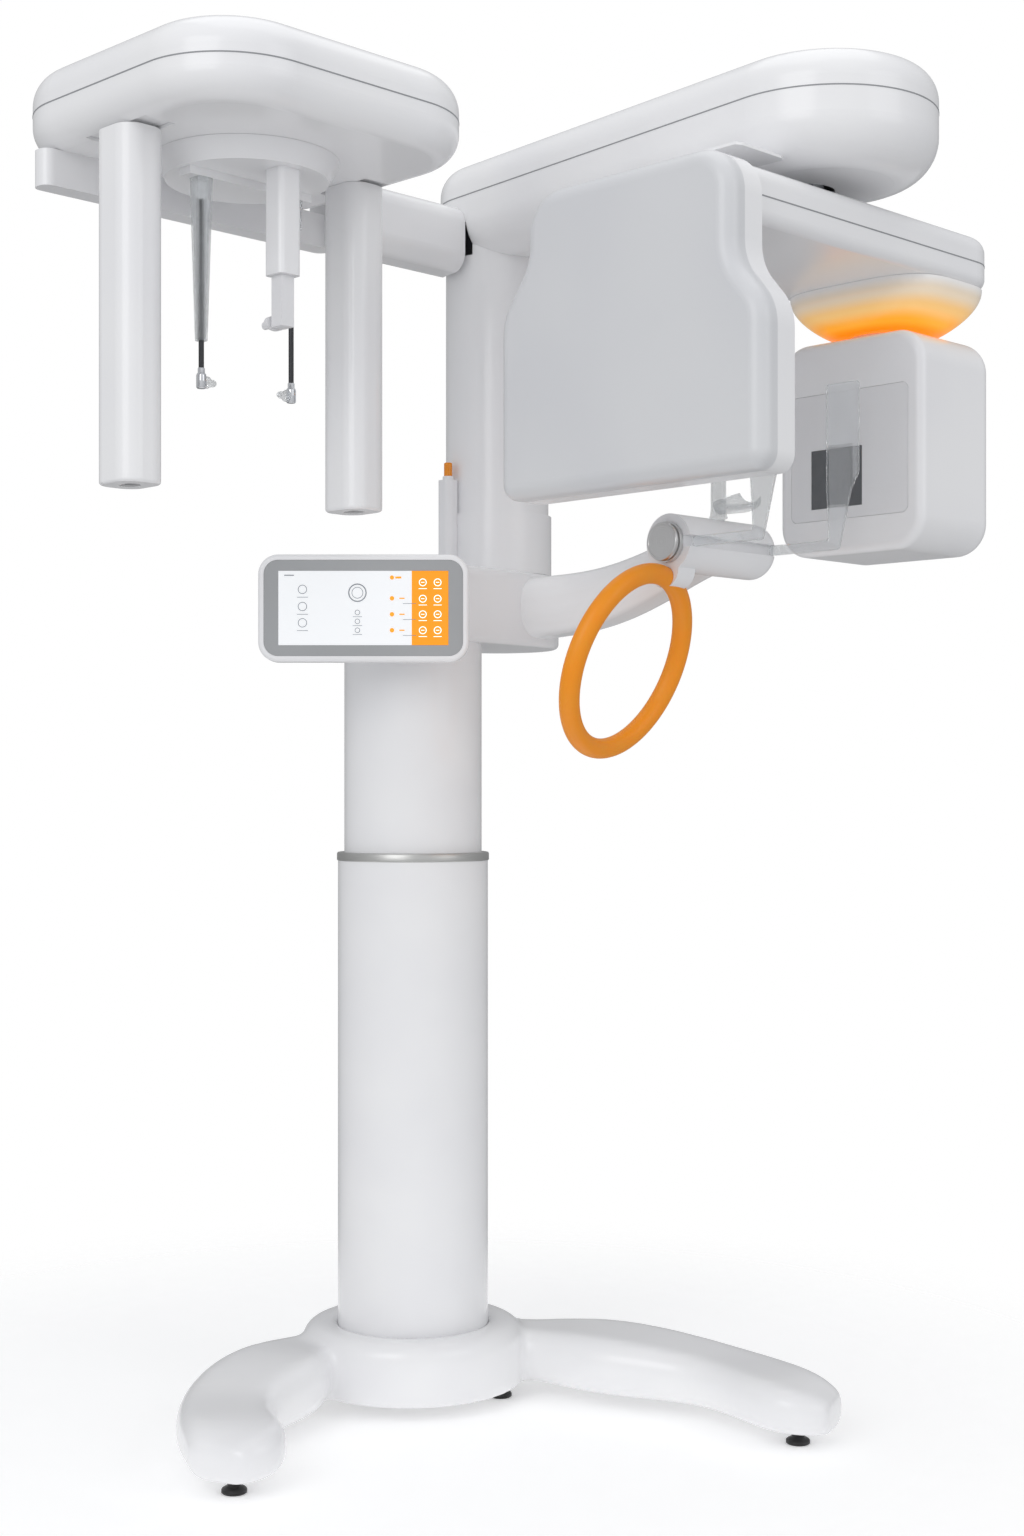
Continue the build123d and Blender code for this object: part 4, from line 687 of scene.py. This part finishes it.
RING_CENTRE = Vector((0.040, -0.375, 1.033))
RING_R = 0.122
RING_TUBE_R = 0.0135
RING_YAW = math.radians(10)
RING_LEAN = math.radians(21)
RING_STEPS = 192
TUBE_STEPS = 40
ring_across = Vector((math.cos(RING_YAW), math.sin(RING_YAW), 0))
ring_up = Vector((math.sin(RING_YAW) * math.sin(RING_LEAN),
                  -math.cos(RING_YAW) * math.sin(RING_LEAN), math.cos(RING_LEAN)))
ring_out = ring_across.cross(ring_up)
shape = bmesh.new()
rings = []
for step in range(RING_STEPS):
    around = 2 * math.pi * step / RING_STEPS
    spoke = ring_across * math.cos(around) + ring_up * math.sin(around)
    rings.append([shape.verts.new(
        RING_CENTRE + spoke * (RING_R + RING_TUBE_R * math.cos(turn))
        + ring_out * RING_TUBE_R * math.sin(turn))
        for turn in (2 * math.pi * k / TUBE_STEPS for k in range(TUBE_STEPS))])
for step in range(RING_STEPS):
    here, there = rings[step], rings[(step + 1) % RING_STEPS]
    for k in range(TUBE_STEPS):
        m = (k + 1) % TUBE_STEPS
        shape.faces.new((here[k], there[k], there[m], here[m]))
bmesh.ops.recalc_face_normals(shape, faces=shape.faces)
mesh = bpy.data.meshes.new("ring_grip")
shape.to_mesh(mesh)
shape.free()
for face in mesh.polygons:
    face.use_smooth = True
ring_grip = place("ring_grip", mesh, orange_polyurethane)
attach(ring_grip, "lift")
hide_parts("ring_handle")


# ---- Adjusting knob: it opens and closes the temple pads ----
# Turned from aluminium bar, with a faced front, a bevelled rim and a dark groove behind it
# where the fingers hold.
KNOB_CENTRE = (0.0, -0.418, 1.190)
KNOB_PROFILE = (
    (0.0005, 0.0592), (0.0218, 0.0592), (0.0226, 0.0588), (0.0240, 0.0588), (0.0252, 0.0594),
    (0.0256, 0.0606), (0.0256, 0.0630), (0.0238, 0.0634), (0.0238, 0.0654), (0.0268, 0.0658),
    (0.0270, 0.0664), (0.0270, 0.0718), (0.0266, 0.0724), (0.0090, 0.0726), (0.0090, 0.0790))
KNOB_TURNS = 96
mesh = lathe("temple_knob", KNOB_PROFILE, KNOB_CENTRE, KNOB_TURNS, "X")
sharpen(mesh, 25)
faced_aluminium, tree = blank("faced_aluminium")
place_in = add(tree, "ShaderNodeTexCoord")
to_axis = add(tree, "ShaderNodeVectorMath", {
    0: place_in.outputs["Object"], 1: (0.0, -KNOB_CENTRE[1], -KNOB_CENTRE[2])})
flat = add(tree, "ShaderNodeVectorMath", {
    0: to_axis.outputs["Vector"], 1: (0.0, 1.0, 1.0)}, operation="MULTIPLY")
reach = add(tree, "ShaderNodeVectorMath", {0: flat.outputs["Vector"]}, operation="LENGTH")
# facing leaves rings 0.2 mm apart; 1.2 mm is what shows
ring_marks = add(tree, "ShaderNodeTexNoise", {
    "W": reach.outputs["Value"], "Scale": 800.0}, noise_dimensions="1D")
tone = add(tree, "ShaderNodeValToRGB", {"Fac": ring_marks.outputs["Fac"]})
tone.color_ramp.elements[0].color = linear("b9b9b8")
tone.color_ramp.elements[1].color = linear("e2e2e2")
raised = add(tree, "ShaderNodeBump", {
    "Height": ring_marks.outputs["Fac"], "Strength": 0.25, "Distance": 0.0003})
surface = add(tree, "ShaderNodeBsdfPrincipled", {
    "Base Color": tone.outputs["Color"], "Metallic": 1.0, "Roughness": 0.28,
    "Anisotropic": 0.6, "Normal": raised.outputs["Normal"]})
add(tree, "ShaderNodeOutputMaterial", {"Surface": surface.outputs["BSDF"]})
knob = place("temple_knob", mesh, faced_aluminium)
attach(knob, "knob")
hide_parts("adjusting_knob")


# ---- Chin rest and temple pads: clear parts that hold the patient's head ----
# Cast acrylic, flame polished.  The chin cup stands on a post in the bar, and the two pads
# ride in the groove of the bar and close on the temples.
clear_acrylic, tree = blank("clear_acrylic")
place_in = add(tree, "ShaderNodeTexCoord")
ripple = add(tree, "ShaderNodeTexNoise", {"Vector": place_in.outputs["Object"], "Scale": 45.0})
raised = add(tree, "ShaderNodeBump", {
    "Height": ripple.outputs["Fac"], "Strength": 0.06, "Distance": 0.001})
surface = add(tree, "ShaderNodeBsdfPrincipled", {
    "Base Color": linear("f4f8fa"), "Roughness": 0.06, "IOR": 1.49,
    "Transmission Weight": 0.88, "Alpha": 0.5, "Normal": raised.outputs["Normal"]})
add(tree, "ShaderNodeOutputMaterial", {"Surface": surface.outputs["BSDF"]})

CHIN_AT = (0.169, -0.424, 0.0)
CHIN_POST_PROFILE = (
    (0.0089, 1.1992), (0.0089, 1.2286), (0.0120, 1.2290), (0.0124, 1.2310), (0.0112, 1.2330),
    (0.0104, 1.2420), (0.0104, 1.2900), (0.0096, 1.2945), (0.0070, 1.2960), (0.0005, 1.2960))
CUP_HALF_WIDTH = 0.033
CUP_LENGTH = 0.052
CUP_FOOT_Z = 1.2335
CUP_THICKNESS = 0.005
CUP_ACROSS = 22
CUP_ALONG = 16


def cup_top(u, v):
    """Height of the cup's upper skin: a saddle for the chin with a raised lip in front."""
    side = abs(u) ** 2.6
    lip = max(0.0, (v - 0.62) / 0.38) ** 2
    return CUP_FOOT_Z + 0.006 + 0.010 * side + 0.007 * lip


shape = bmesh.new()
sheets = []
for drop in (0.0, CUP_THICKNESS):
    sheet = []
    for j in range(CUP_ALONG + 1):
        v = j / CUP_ALONG
        width = CUP_HALF_WIDTH * (0.42 + 0.58 * math.sin(min(v * 1.35, 1.0) * math.pi / 2))
        width *= 1.0 - 0.35 * max(0.0, (v - 0.8) / 0.2) ** 2
        row = []
        for i in range(CUP_ACROSS + 1):
            u = 2 * i / CUP_ACROSS - 1
            row.append(shape.verts.new((
                CHIN_AT[0] + u * width, CHIN_AT[1] - 0.002 - v * CUP_LENGTH, cup_top(u, v) - drop)))
        sheet.append(row)
    sheets.append(sheet)
for j in range(CUP_ALONG):
    for i in range(CUP_ACROSS):
        for sheet in sheets:
            shape.faces.new((sheet[j][i], sheet[j][i + 1], sheet[j + 1][i + 1], sheet[j + 1][i]))
rim = [(0, i) for i in range(CUP_ACROSS)] + [(j, CUP_ACROSS) for j in range(CUP_ALONG)]
rim += [(CUP_ALONG, i) for i in range(CUP_ACROSS, 0, -1)]
rim += [(j, 0) for j in range(CUP_ALONG, 0, -1)]
for (j, i), (k, m) in zip(rim, rim[1:] + rim[:1]):
    shape.faces.new((sheets[0][j][i], sheets[0][k][m], sheets[1][k][m], sheets[1][j][i]))
bmesh.ops.recalc_face_normals(shape, faces=shape.faces)
cup = bpy.data.meshes.new("cup")
shape.to_mesh(cup)
shape.free()
for face in cup.polygons:
    face.use_smooth = True
sharpen(cup, 50)
chin = place("chin_cup", joined("chin_cup", [
    lathe("post", CHIN_POST_PROFILE, CHIN_AT, 48), cup]), clear_acrylic)
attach(chin, "chin")
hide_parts("chin_rest")

PAD_EDGE = 0.0016
for node, name, body in (("temple_pad_left", "temple_blade_left", "left_temple"),
                         ("temple_pad_right", "temple_blade_right", "right_temple")):
    mesh = nodes[node].data.copy()
    shape = bmesh.new()
    shape.from_mesh(mesh)
    bmesh.ops.remove_doubles(shape, verts=shape.verts, dist=1e-5)
    bmesh.ops.dissolve_limit(
        shape, angle_limit=math.radians(1), verts=shape.verts, edges=shape.edges)
    sharp = [e for e in shape.edges
             if len(e.link_faces) == 2 and e.calc_face_angle(0) > math.radians(50)]
    bmesh.ops.bevel(shape, geom=sharp, offset=PAD_EDGE, segments=3, affect="EDGES", profile=0.6)
    shape.to_mesh(mesh)
    shape.free()
    for face in mesh.polygons:
        face.use_smooth = True
    sharpen(mesh, 40)
    pad = place(name, mesh, clear_acrylic)
    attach(pad, body)
    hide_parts(node)


# ---- Touch screen: the operator's panel on its tilting bracket ----
# A white ABS housing with a grey frame round a flat LCD.  The picture is plain rounded
# icons, with no lettering.
coat("screen_housing", gloss_white_abs)
frame_grey_abs = gloss_abs("frame_grey_abs", "a9abad", "a2a4a6", 0.38)
coat("screen_bezel", frame_grey_abs)

SCREEN_CENTRE = Vector((-0.169, -0.086, 1.109))
SCREEN_RIGHT = Vector((math.sqrt(0.5), -math.sqrt(0.5), 0))
SCREEN_OUT = Vector((-math.sqrt(0.5), -math.sqrt(0.5), 0))
SCREEN_UP = Vector((0, 0, 1))
LCD_DEPTH = 0.0008
LCD_HALF = (0.1145, 0.050)


def backlit(name, colour, strength):
    """LCD picture colour: lit from behind, under clear hard glass."""
    material, tree = blank(name)
    place_in = add(tree, "ShaderNodeTexCoord")
    # the real dots are 0.2 mm; 1.5 mm keeps a faint texture in view
    dots = add(tree, "ShaderNodeTexNoise", {"Vector": place_in.outputs["Object"], "Scale": 650.0})
    tone = add(tree, "ShaderNodeMixRGB", {
        "Fac": dots.outputs["Fac"], "Color1": linear(colour), "Color2": linear(colour)})
    tone.inputs["Color2"].default_value = [c * 0.97 for c in linear(colour)[:3]] + [1]
    surface = add(tree, "ShaderNodeBsdfPrincipled", {
        "Base Color": tone.outputs["Color"], "Roughness": 0.12, "IOR": 1.5,
        "Emission Color": linear(colour), "Emission Strength": strength})
    add(tree, "ShaderNodeOutputMaterial", {"Surface": surface.outputs["BSDF"]})
    return material


def panel(outline, depth=0.0, thick=0.0003):
    """A thin plate on the LCD; outline points are right and up from the screen's centre."""
    shape = bmesh.new()
    front = [shape.verts.new(SCREEN_CENTRE + SCREEN_RIGHT * x + SCREEN_UP * y - SCREEN_OUT * depth)
             for x, y in outline]
    back = [shape.verts.new(v.co - SCREEN_OUT * thick) for v in front]
    shape.faces.new(front)
    shape.faces.new(list(reversed(back)))
    for k, here in enumerate(front):
        after = (k + 1) % len(front)
        shape.faces.new((here, back[k], back[after], front[after]))
    bmesh.ops.recalc_face_normals(shape, faces=shape.faces)
    mesh = bpy.data.meshes.new("panel")
    shape.to_mesh(mesh)
    shape.free()
    return mesh


def disc(x, y, radius, sides=28):
    """Outline of a round icon."""
    turns = [2 * math.pi * k / sides for k in range(sides)]
    return [(x + radius * math.cos(turn), y + radius * math.sin(turn)) for turn in turns]


def bar(x, y, width, height):
    """Outline of a bar-shaped icon."""
    return [(x - width / 2, y - height / 2), (x + width / 2, y - height / 2),
            (x + width / 2, y + height / 2), (x - width / 2, y + height / 2)]


def ring_icon(x, y, radius, width, share=1.0, depth=0.0002):
    """Plates along a circle that read as a round line."""
    pieces = []
    steps = 20
    for k in range(int(steps * share)):
        a, b = 2 * math.pi * k / steps, 2 * math.pi * (k + 1) / steps
        inner = radius - width
        corners = ((inner, a), (radius, a), (radius, b), (inner, b))
        pieces.append(panel(
            [(x + r * math.cos(turn), y + r * math.sin(turn)) for r, turn in corners], depth))
    return pieces


LCD_LAYER = 0.0005
LCD_THICK = 0.0012
STRIP_HALF = 0.0247
STRIP_X = LCD_HALF[0] - STRIP_HALF
STRIP_COLUMNS = (STRIP_X - 0.0098, STRIP_X + 0.0102)
STRIP_ROWS = (0.0345, 0.0125, -0.0085, -0.0300)
pictures = {
    "lcd_white": (backlit("lcd_white", "f4f6f8", 0.22), [
        panel([(-LCD_HALF[0], -LCD_HALF[1]), (STRIP_X - STRIP_HALF, -LCD_HALF[1]),
               (STRIP_X - STRIP_HALF, LCD_HALF[1]), (-LCD_HALF[0], LCD_HALF[1])],
              LCD_DEPTH, LCD_THICK)]),
    "lcd_orange": (backlit("lcd_orange", "fb9c10", 0.3), [
        panel([(STRIP_X - STRIP_HALF, -LCD_HALF[1]), (LCD_HALF[0], -LCD_HALF[1]),
               (LCD_HALF[0], LCD_HALF[1]), (STRIP_X - STRIP_HALF, LCD_HALF[1])],
              LCD_DEPTH, LCD_THICK)]),
}
white_icons, orange_icons, grey_icons = [], [], []
for x in STRIP_COLUMNS:
    for y in STRIP_ROWS:
        white_icons += ring_icon(x, y, 0.0052, 0.0010, depth=LCD_LAYER)
        white_icons.append(panel(bar(x, y, 0.0046, 0.0009), LCD_LAYER))
        white_icons.append(panel(bar(x, y - 0.0085, 0.0110, 0.0008), LCD_LAYER))
for y, half in ((0.0410, 0.0028), (0.0130, 0.0030), (-0.0085, 0.0030), (-0.0300, 0.0030)):
    orange_icons.append(panel(disc(0.0385, y, half), LCD_LAYER))
orange_icons.append(panel(bar(0.047, 0.041, 0.008, 0.0026), LCD_LAYER))
for y in (0.0130, -0.0085, -0.0300):
    orange_icons.append(panel(bar(0.0520, y, 0.0070, 0.0016), LCD_LAYER))
for y in (0.0250, 0.0020, -0.0200):
    grey_icons += ring_icon(-0.082, y, 0.0062, 0.0009, depth=LCD_LAYER)
    grey_icons.append(panel(bar(-0.082, y - 0.0105, 0.0150, 0.0007), LCD_LAYER))
grey_icons += ring_icon(-0.008, 0.0205, 0.0125, 0.0016, 1.0, LCD_LAYER)
grey_icons += ring_icon(-0.008, 0.0205, 0.0078, 0.0008, 1.0, LCD_LAYER)
for y in (-0.0060, -0.0180, -0.0300):
    grey_icons += ring_icon(-0.008, y, 0.0036, 0.0008, depth=LCD_LAYER)
    grey_icons.append(panel(bar(-0.008, y - 0.0058, 0.0130, 0.0006), LCD_LAYER))
grey_icons.append(panel(bar(-0.100, 0.0440, 0.0130, 0.0014), LCD_LAYER))
for x in (0.0650, ):
    for y in (0.0130, -0.0085, -0.0300):
        grey_icons.append(panel(bar(x - 0.003, y - 0.0070, 0.0180, 0.0006), LCD_LAYER))
pictures["icons_white"] = (backlit("icons_white", "ffffff", 0.75), white_icons)
pictures["icons_orange"] = (backlit("icons_orange", "f39a1f", 0.5), orange_icons)
pictures["icons_grey"] = (backlit("icons_grey", "969ba1", 0.05), grey_icons)
for name, (material, plates) in pictures.items():
    piece = place(name, joined(name, plates), material)
    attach(piece, "screen")
    if name == "lcd_white":
        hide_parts("display_panel")


# ---- Hand switch: exposure button in the cradle on the tower ----
# A slim ABS grip with an orange push button.  It lifts out of the cradle when the
# operator steps back.
coat("hand_switch", gloss_white_abs)
orange_abs = gloss_abs("orange_abs", "f79a12", "f08f08", 0.25)
coat("exposure_button", orange_abs)


# ---- Cephalometric arm and head ----
# A painted arm carries the wide flat head.  Two ABS shells meet in a fine joint line, and
# the two scanning pillars hang through slots in the lower one.
coat("ceph_arm", white_powder_coat)
for node in ("ceph_lower_cover", "ceph_upper_cover", "detector_pillar", "collimator_pillar",
             "ear_carrier", "nasion_post"):
    coat(node, gloss_white_abs)
coat("nasion_slider", satin_white_abs)


CEPH_SEAM_Z = 1.713
PILLAR_SHUTTER_Z = (1.6682, 1.6694)
PILLAR_SHUTTER_HALF_WIDTH = 0.025
PILLAR_SHUTTER_HOLE_R = 0.012
joint_line("ceph_joint", "ceph_lower_cover", CEPH_SEAM_Z, "lift")
for node, reach, body in (("detector_pillar", 0.098, "ceph_detector"),
                          ("collimator_pillar", 0.071, "ceph_collimator")):
    low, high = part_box(node)
    slot_shutter(node + "_shutter", ((low[0] + high[0]) / 2, (low[1] + high[1]) / 2),
                 (PILLAR_SHUTTER_HALF_WIDTH, reach), PILLAR_SHUTTER_Z, PILLAR_SHUTTER_HOLE_R, body)


# ---- Ear rods: they centre the head under the cephalometric arm ----
# Each is a clear tapered polycarbonate sheath round a slim black carbon rod, with a chromed
# ferrule at its tip and a clear soft plug that faces the other rod.
carbon_rod, tree = blank("pultruded_carbon_rod")
place_in = add(tree, "ShaderNodeTexCoord")
squeeze = add(tree, "ShaderNodeMapping", {
    "Vector": place_in.outputs["Object"], "Scale": (900, 900, 20)})
fibres = add(tree, "ShaderNodeTexNoise", {"Vector": squeeze.outputs["Vector"]})
spread = add(tree, "ShaderNodeMapRange", {
    "Value": fibres.outputs["Fac"], "To Min": 0.25, "To Max": 0.45})
surface = add(tree, "ShaderNodeBsdfPrincipled", {
    "Base Color": linear("3b3c3f"), "Metallic": 0.4, "Roughness": spread.outputs["Result"]})
add(tree, "ShaderNodeOutputMaterial", {"Surface": surface.outputs["BSDF"]})

CEPH_X = -0.377
CEPH_Y = -0.100
EAR_SPREAD = 0.072
SHEATH_TOP_Z = 1.6277
ROD_PROFILE = ((0.0030, 1.386), (0.0034, 1.388), (0.0034, 1.600), (0.0030, 1.602))
FERRULE_PROFILE = (
    (0.0020, 1.3652), (0.0052, 1.3656), (0.0062, 1.3670), (0.0062, 1.3820), (0.0056, 1.3838),
    (0.0044, 1.3850), (0.0044, 1.3905), (0.0038, 1.3915))
PLUG_PROFILE = (
    (0.0030, 0.0060), (0.0076, 0.0066), (0.0079, 0.0085), (0.0074, 0.0105), (0.0052, 0.0125),
    (0.0050, 0.0150), (0.0046, 0.0185), (0.0034, 0.0212), (0.0010, 0.0222))
SHEATH_HALF_TOP = 0.0125
SHEATH_HALF_FOOT = 0.0068
SHEATH_WALL = 0.0022
SHEATHS = {"left": (1.425, -1), "right": (1.590, 1)}


def sheath_mesh(centre_x, foot_z, full_foot_z=1.425):
    """A hollow square-section sleeve with round corners that narrows downwards."""
    shape = bmesh.new()
    skins = []
    for inset in (0.0, SHEATH_WALL):
        rows = []
        for level in range(9):
            z = SHEATH_TOP_Z + (foot_z - SHEATH_TOP_Z) * level / 8
            share = (SHEATH_TOP_Z - z) / (SHEATH_TOP_Z - full_foot_z)
            half = SHEATH_HALF_TOP + (SHEATH_HALF_FOOT - SHEATH_HALF_TOP) * share - inset
            row = []
            for step in range(40):
                angle = 2 * math.pi * step / 40
                c, s = math.cos(angle), math.sin(angle)
                row.append(shape.verts.new((
                    centre_x + half * math.copysign(abs(c) ** 0.55, c),
                    CEPH_Y + half * math.copysign(abs(s) ** 0.55, s), z)))
            rows.append(row)
        skins.append(rows)
    loop = skins[0] + list(reversed(skins[1]))
    for here, there in zip(loop, loop[1:] + loop[:1]):
        for step in range(40):
            after = (step + 1) % 40
            shape.faces.new((here[step], here[after], there[after], there[step]))
    bmesh.ops.recalc_face_normals(shape, faces=shape.faces)
    mesh = bpy.data.meshes.new("sheath")
    shape.to_mesh(mesh)
    shape.free()
    for face in mesh.polygons:
        face.use_smooth = True
    sharpen(mesh, 40)
    return mesh


for side, (foot_z, sign) in SHEATHS.items():
    rod_x = CEPH_X + sign * EAR_SPREAD
    body = side + "_ear"
    sheath = place(f"ear_sheath_{side}", sheath_mesh(rod_x, foot_z), clear_acrylic)
    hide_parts(f"ear_rod_{side}")
    plug = place(f"ear_plug_{side}", lathe("plug", [
        (radius, -sign * reach) for radius, reach in PLUG_PROFILE],
        (rod_x, CEPH_Y, 1.374), 36, "X"), clear_acrylic)
    rod = place(f"ear_core_{side}", lathe("core", ROD_PROFILE, (rod_x, CEPH_Y, 0), 32), carbon_rod)
    ferrule = place(f"ear_ferrule_{side}", lathe(
        "ferrule", FERRULE_PROFILE, (rod_x, CEPH_Y, 0), 40), hard_chrome)
    for piece in (sheath, plug, rod, ferrule):
        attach(piece, body)
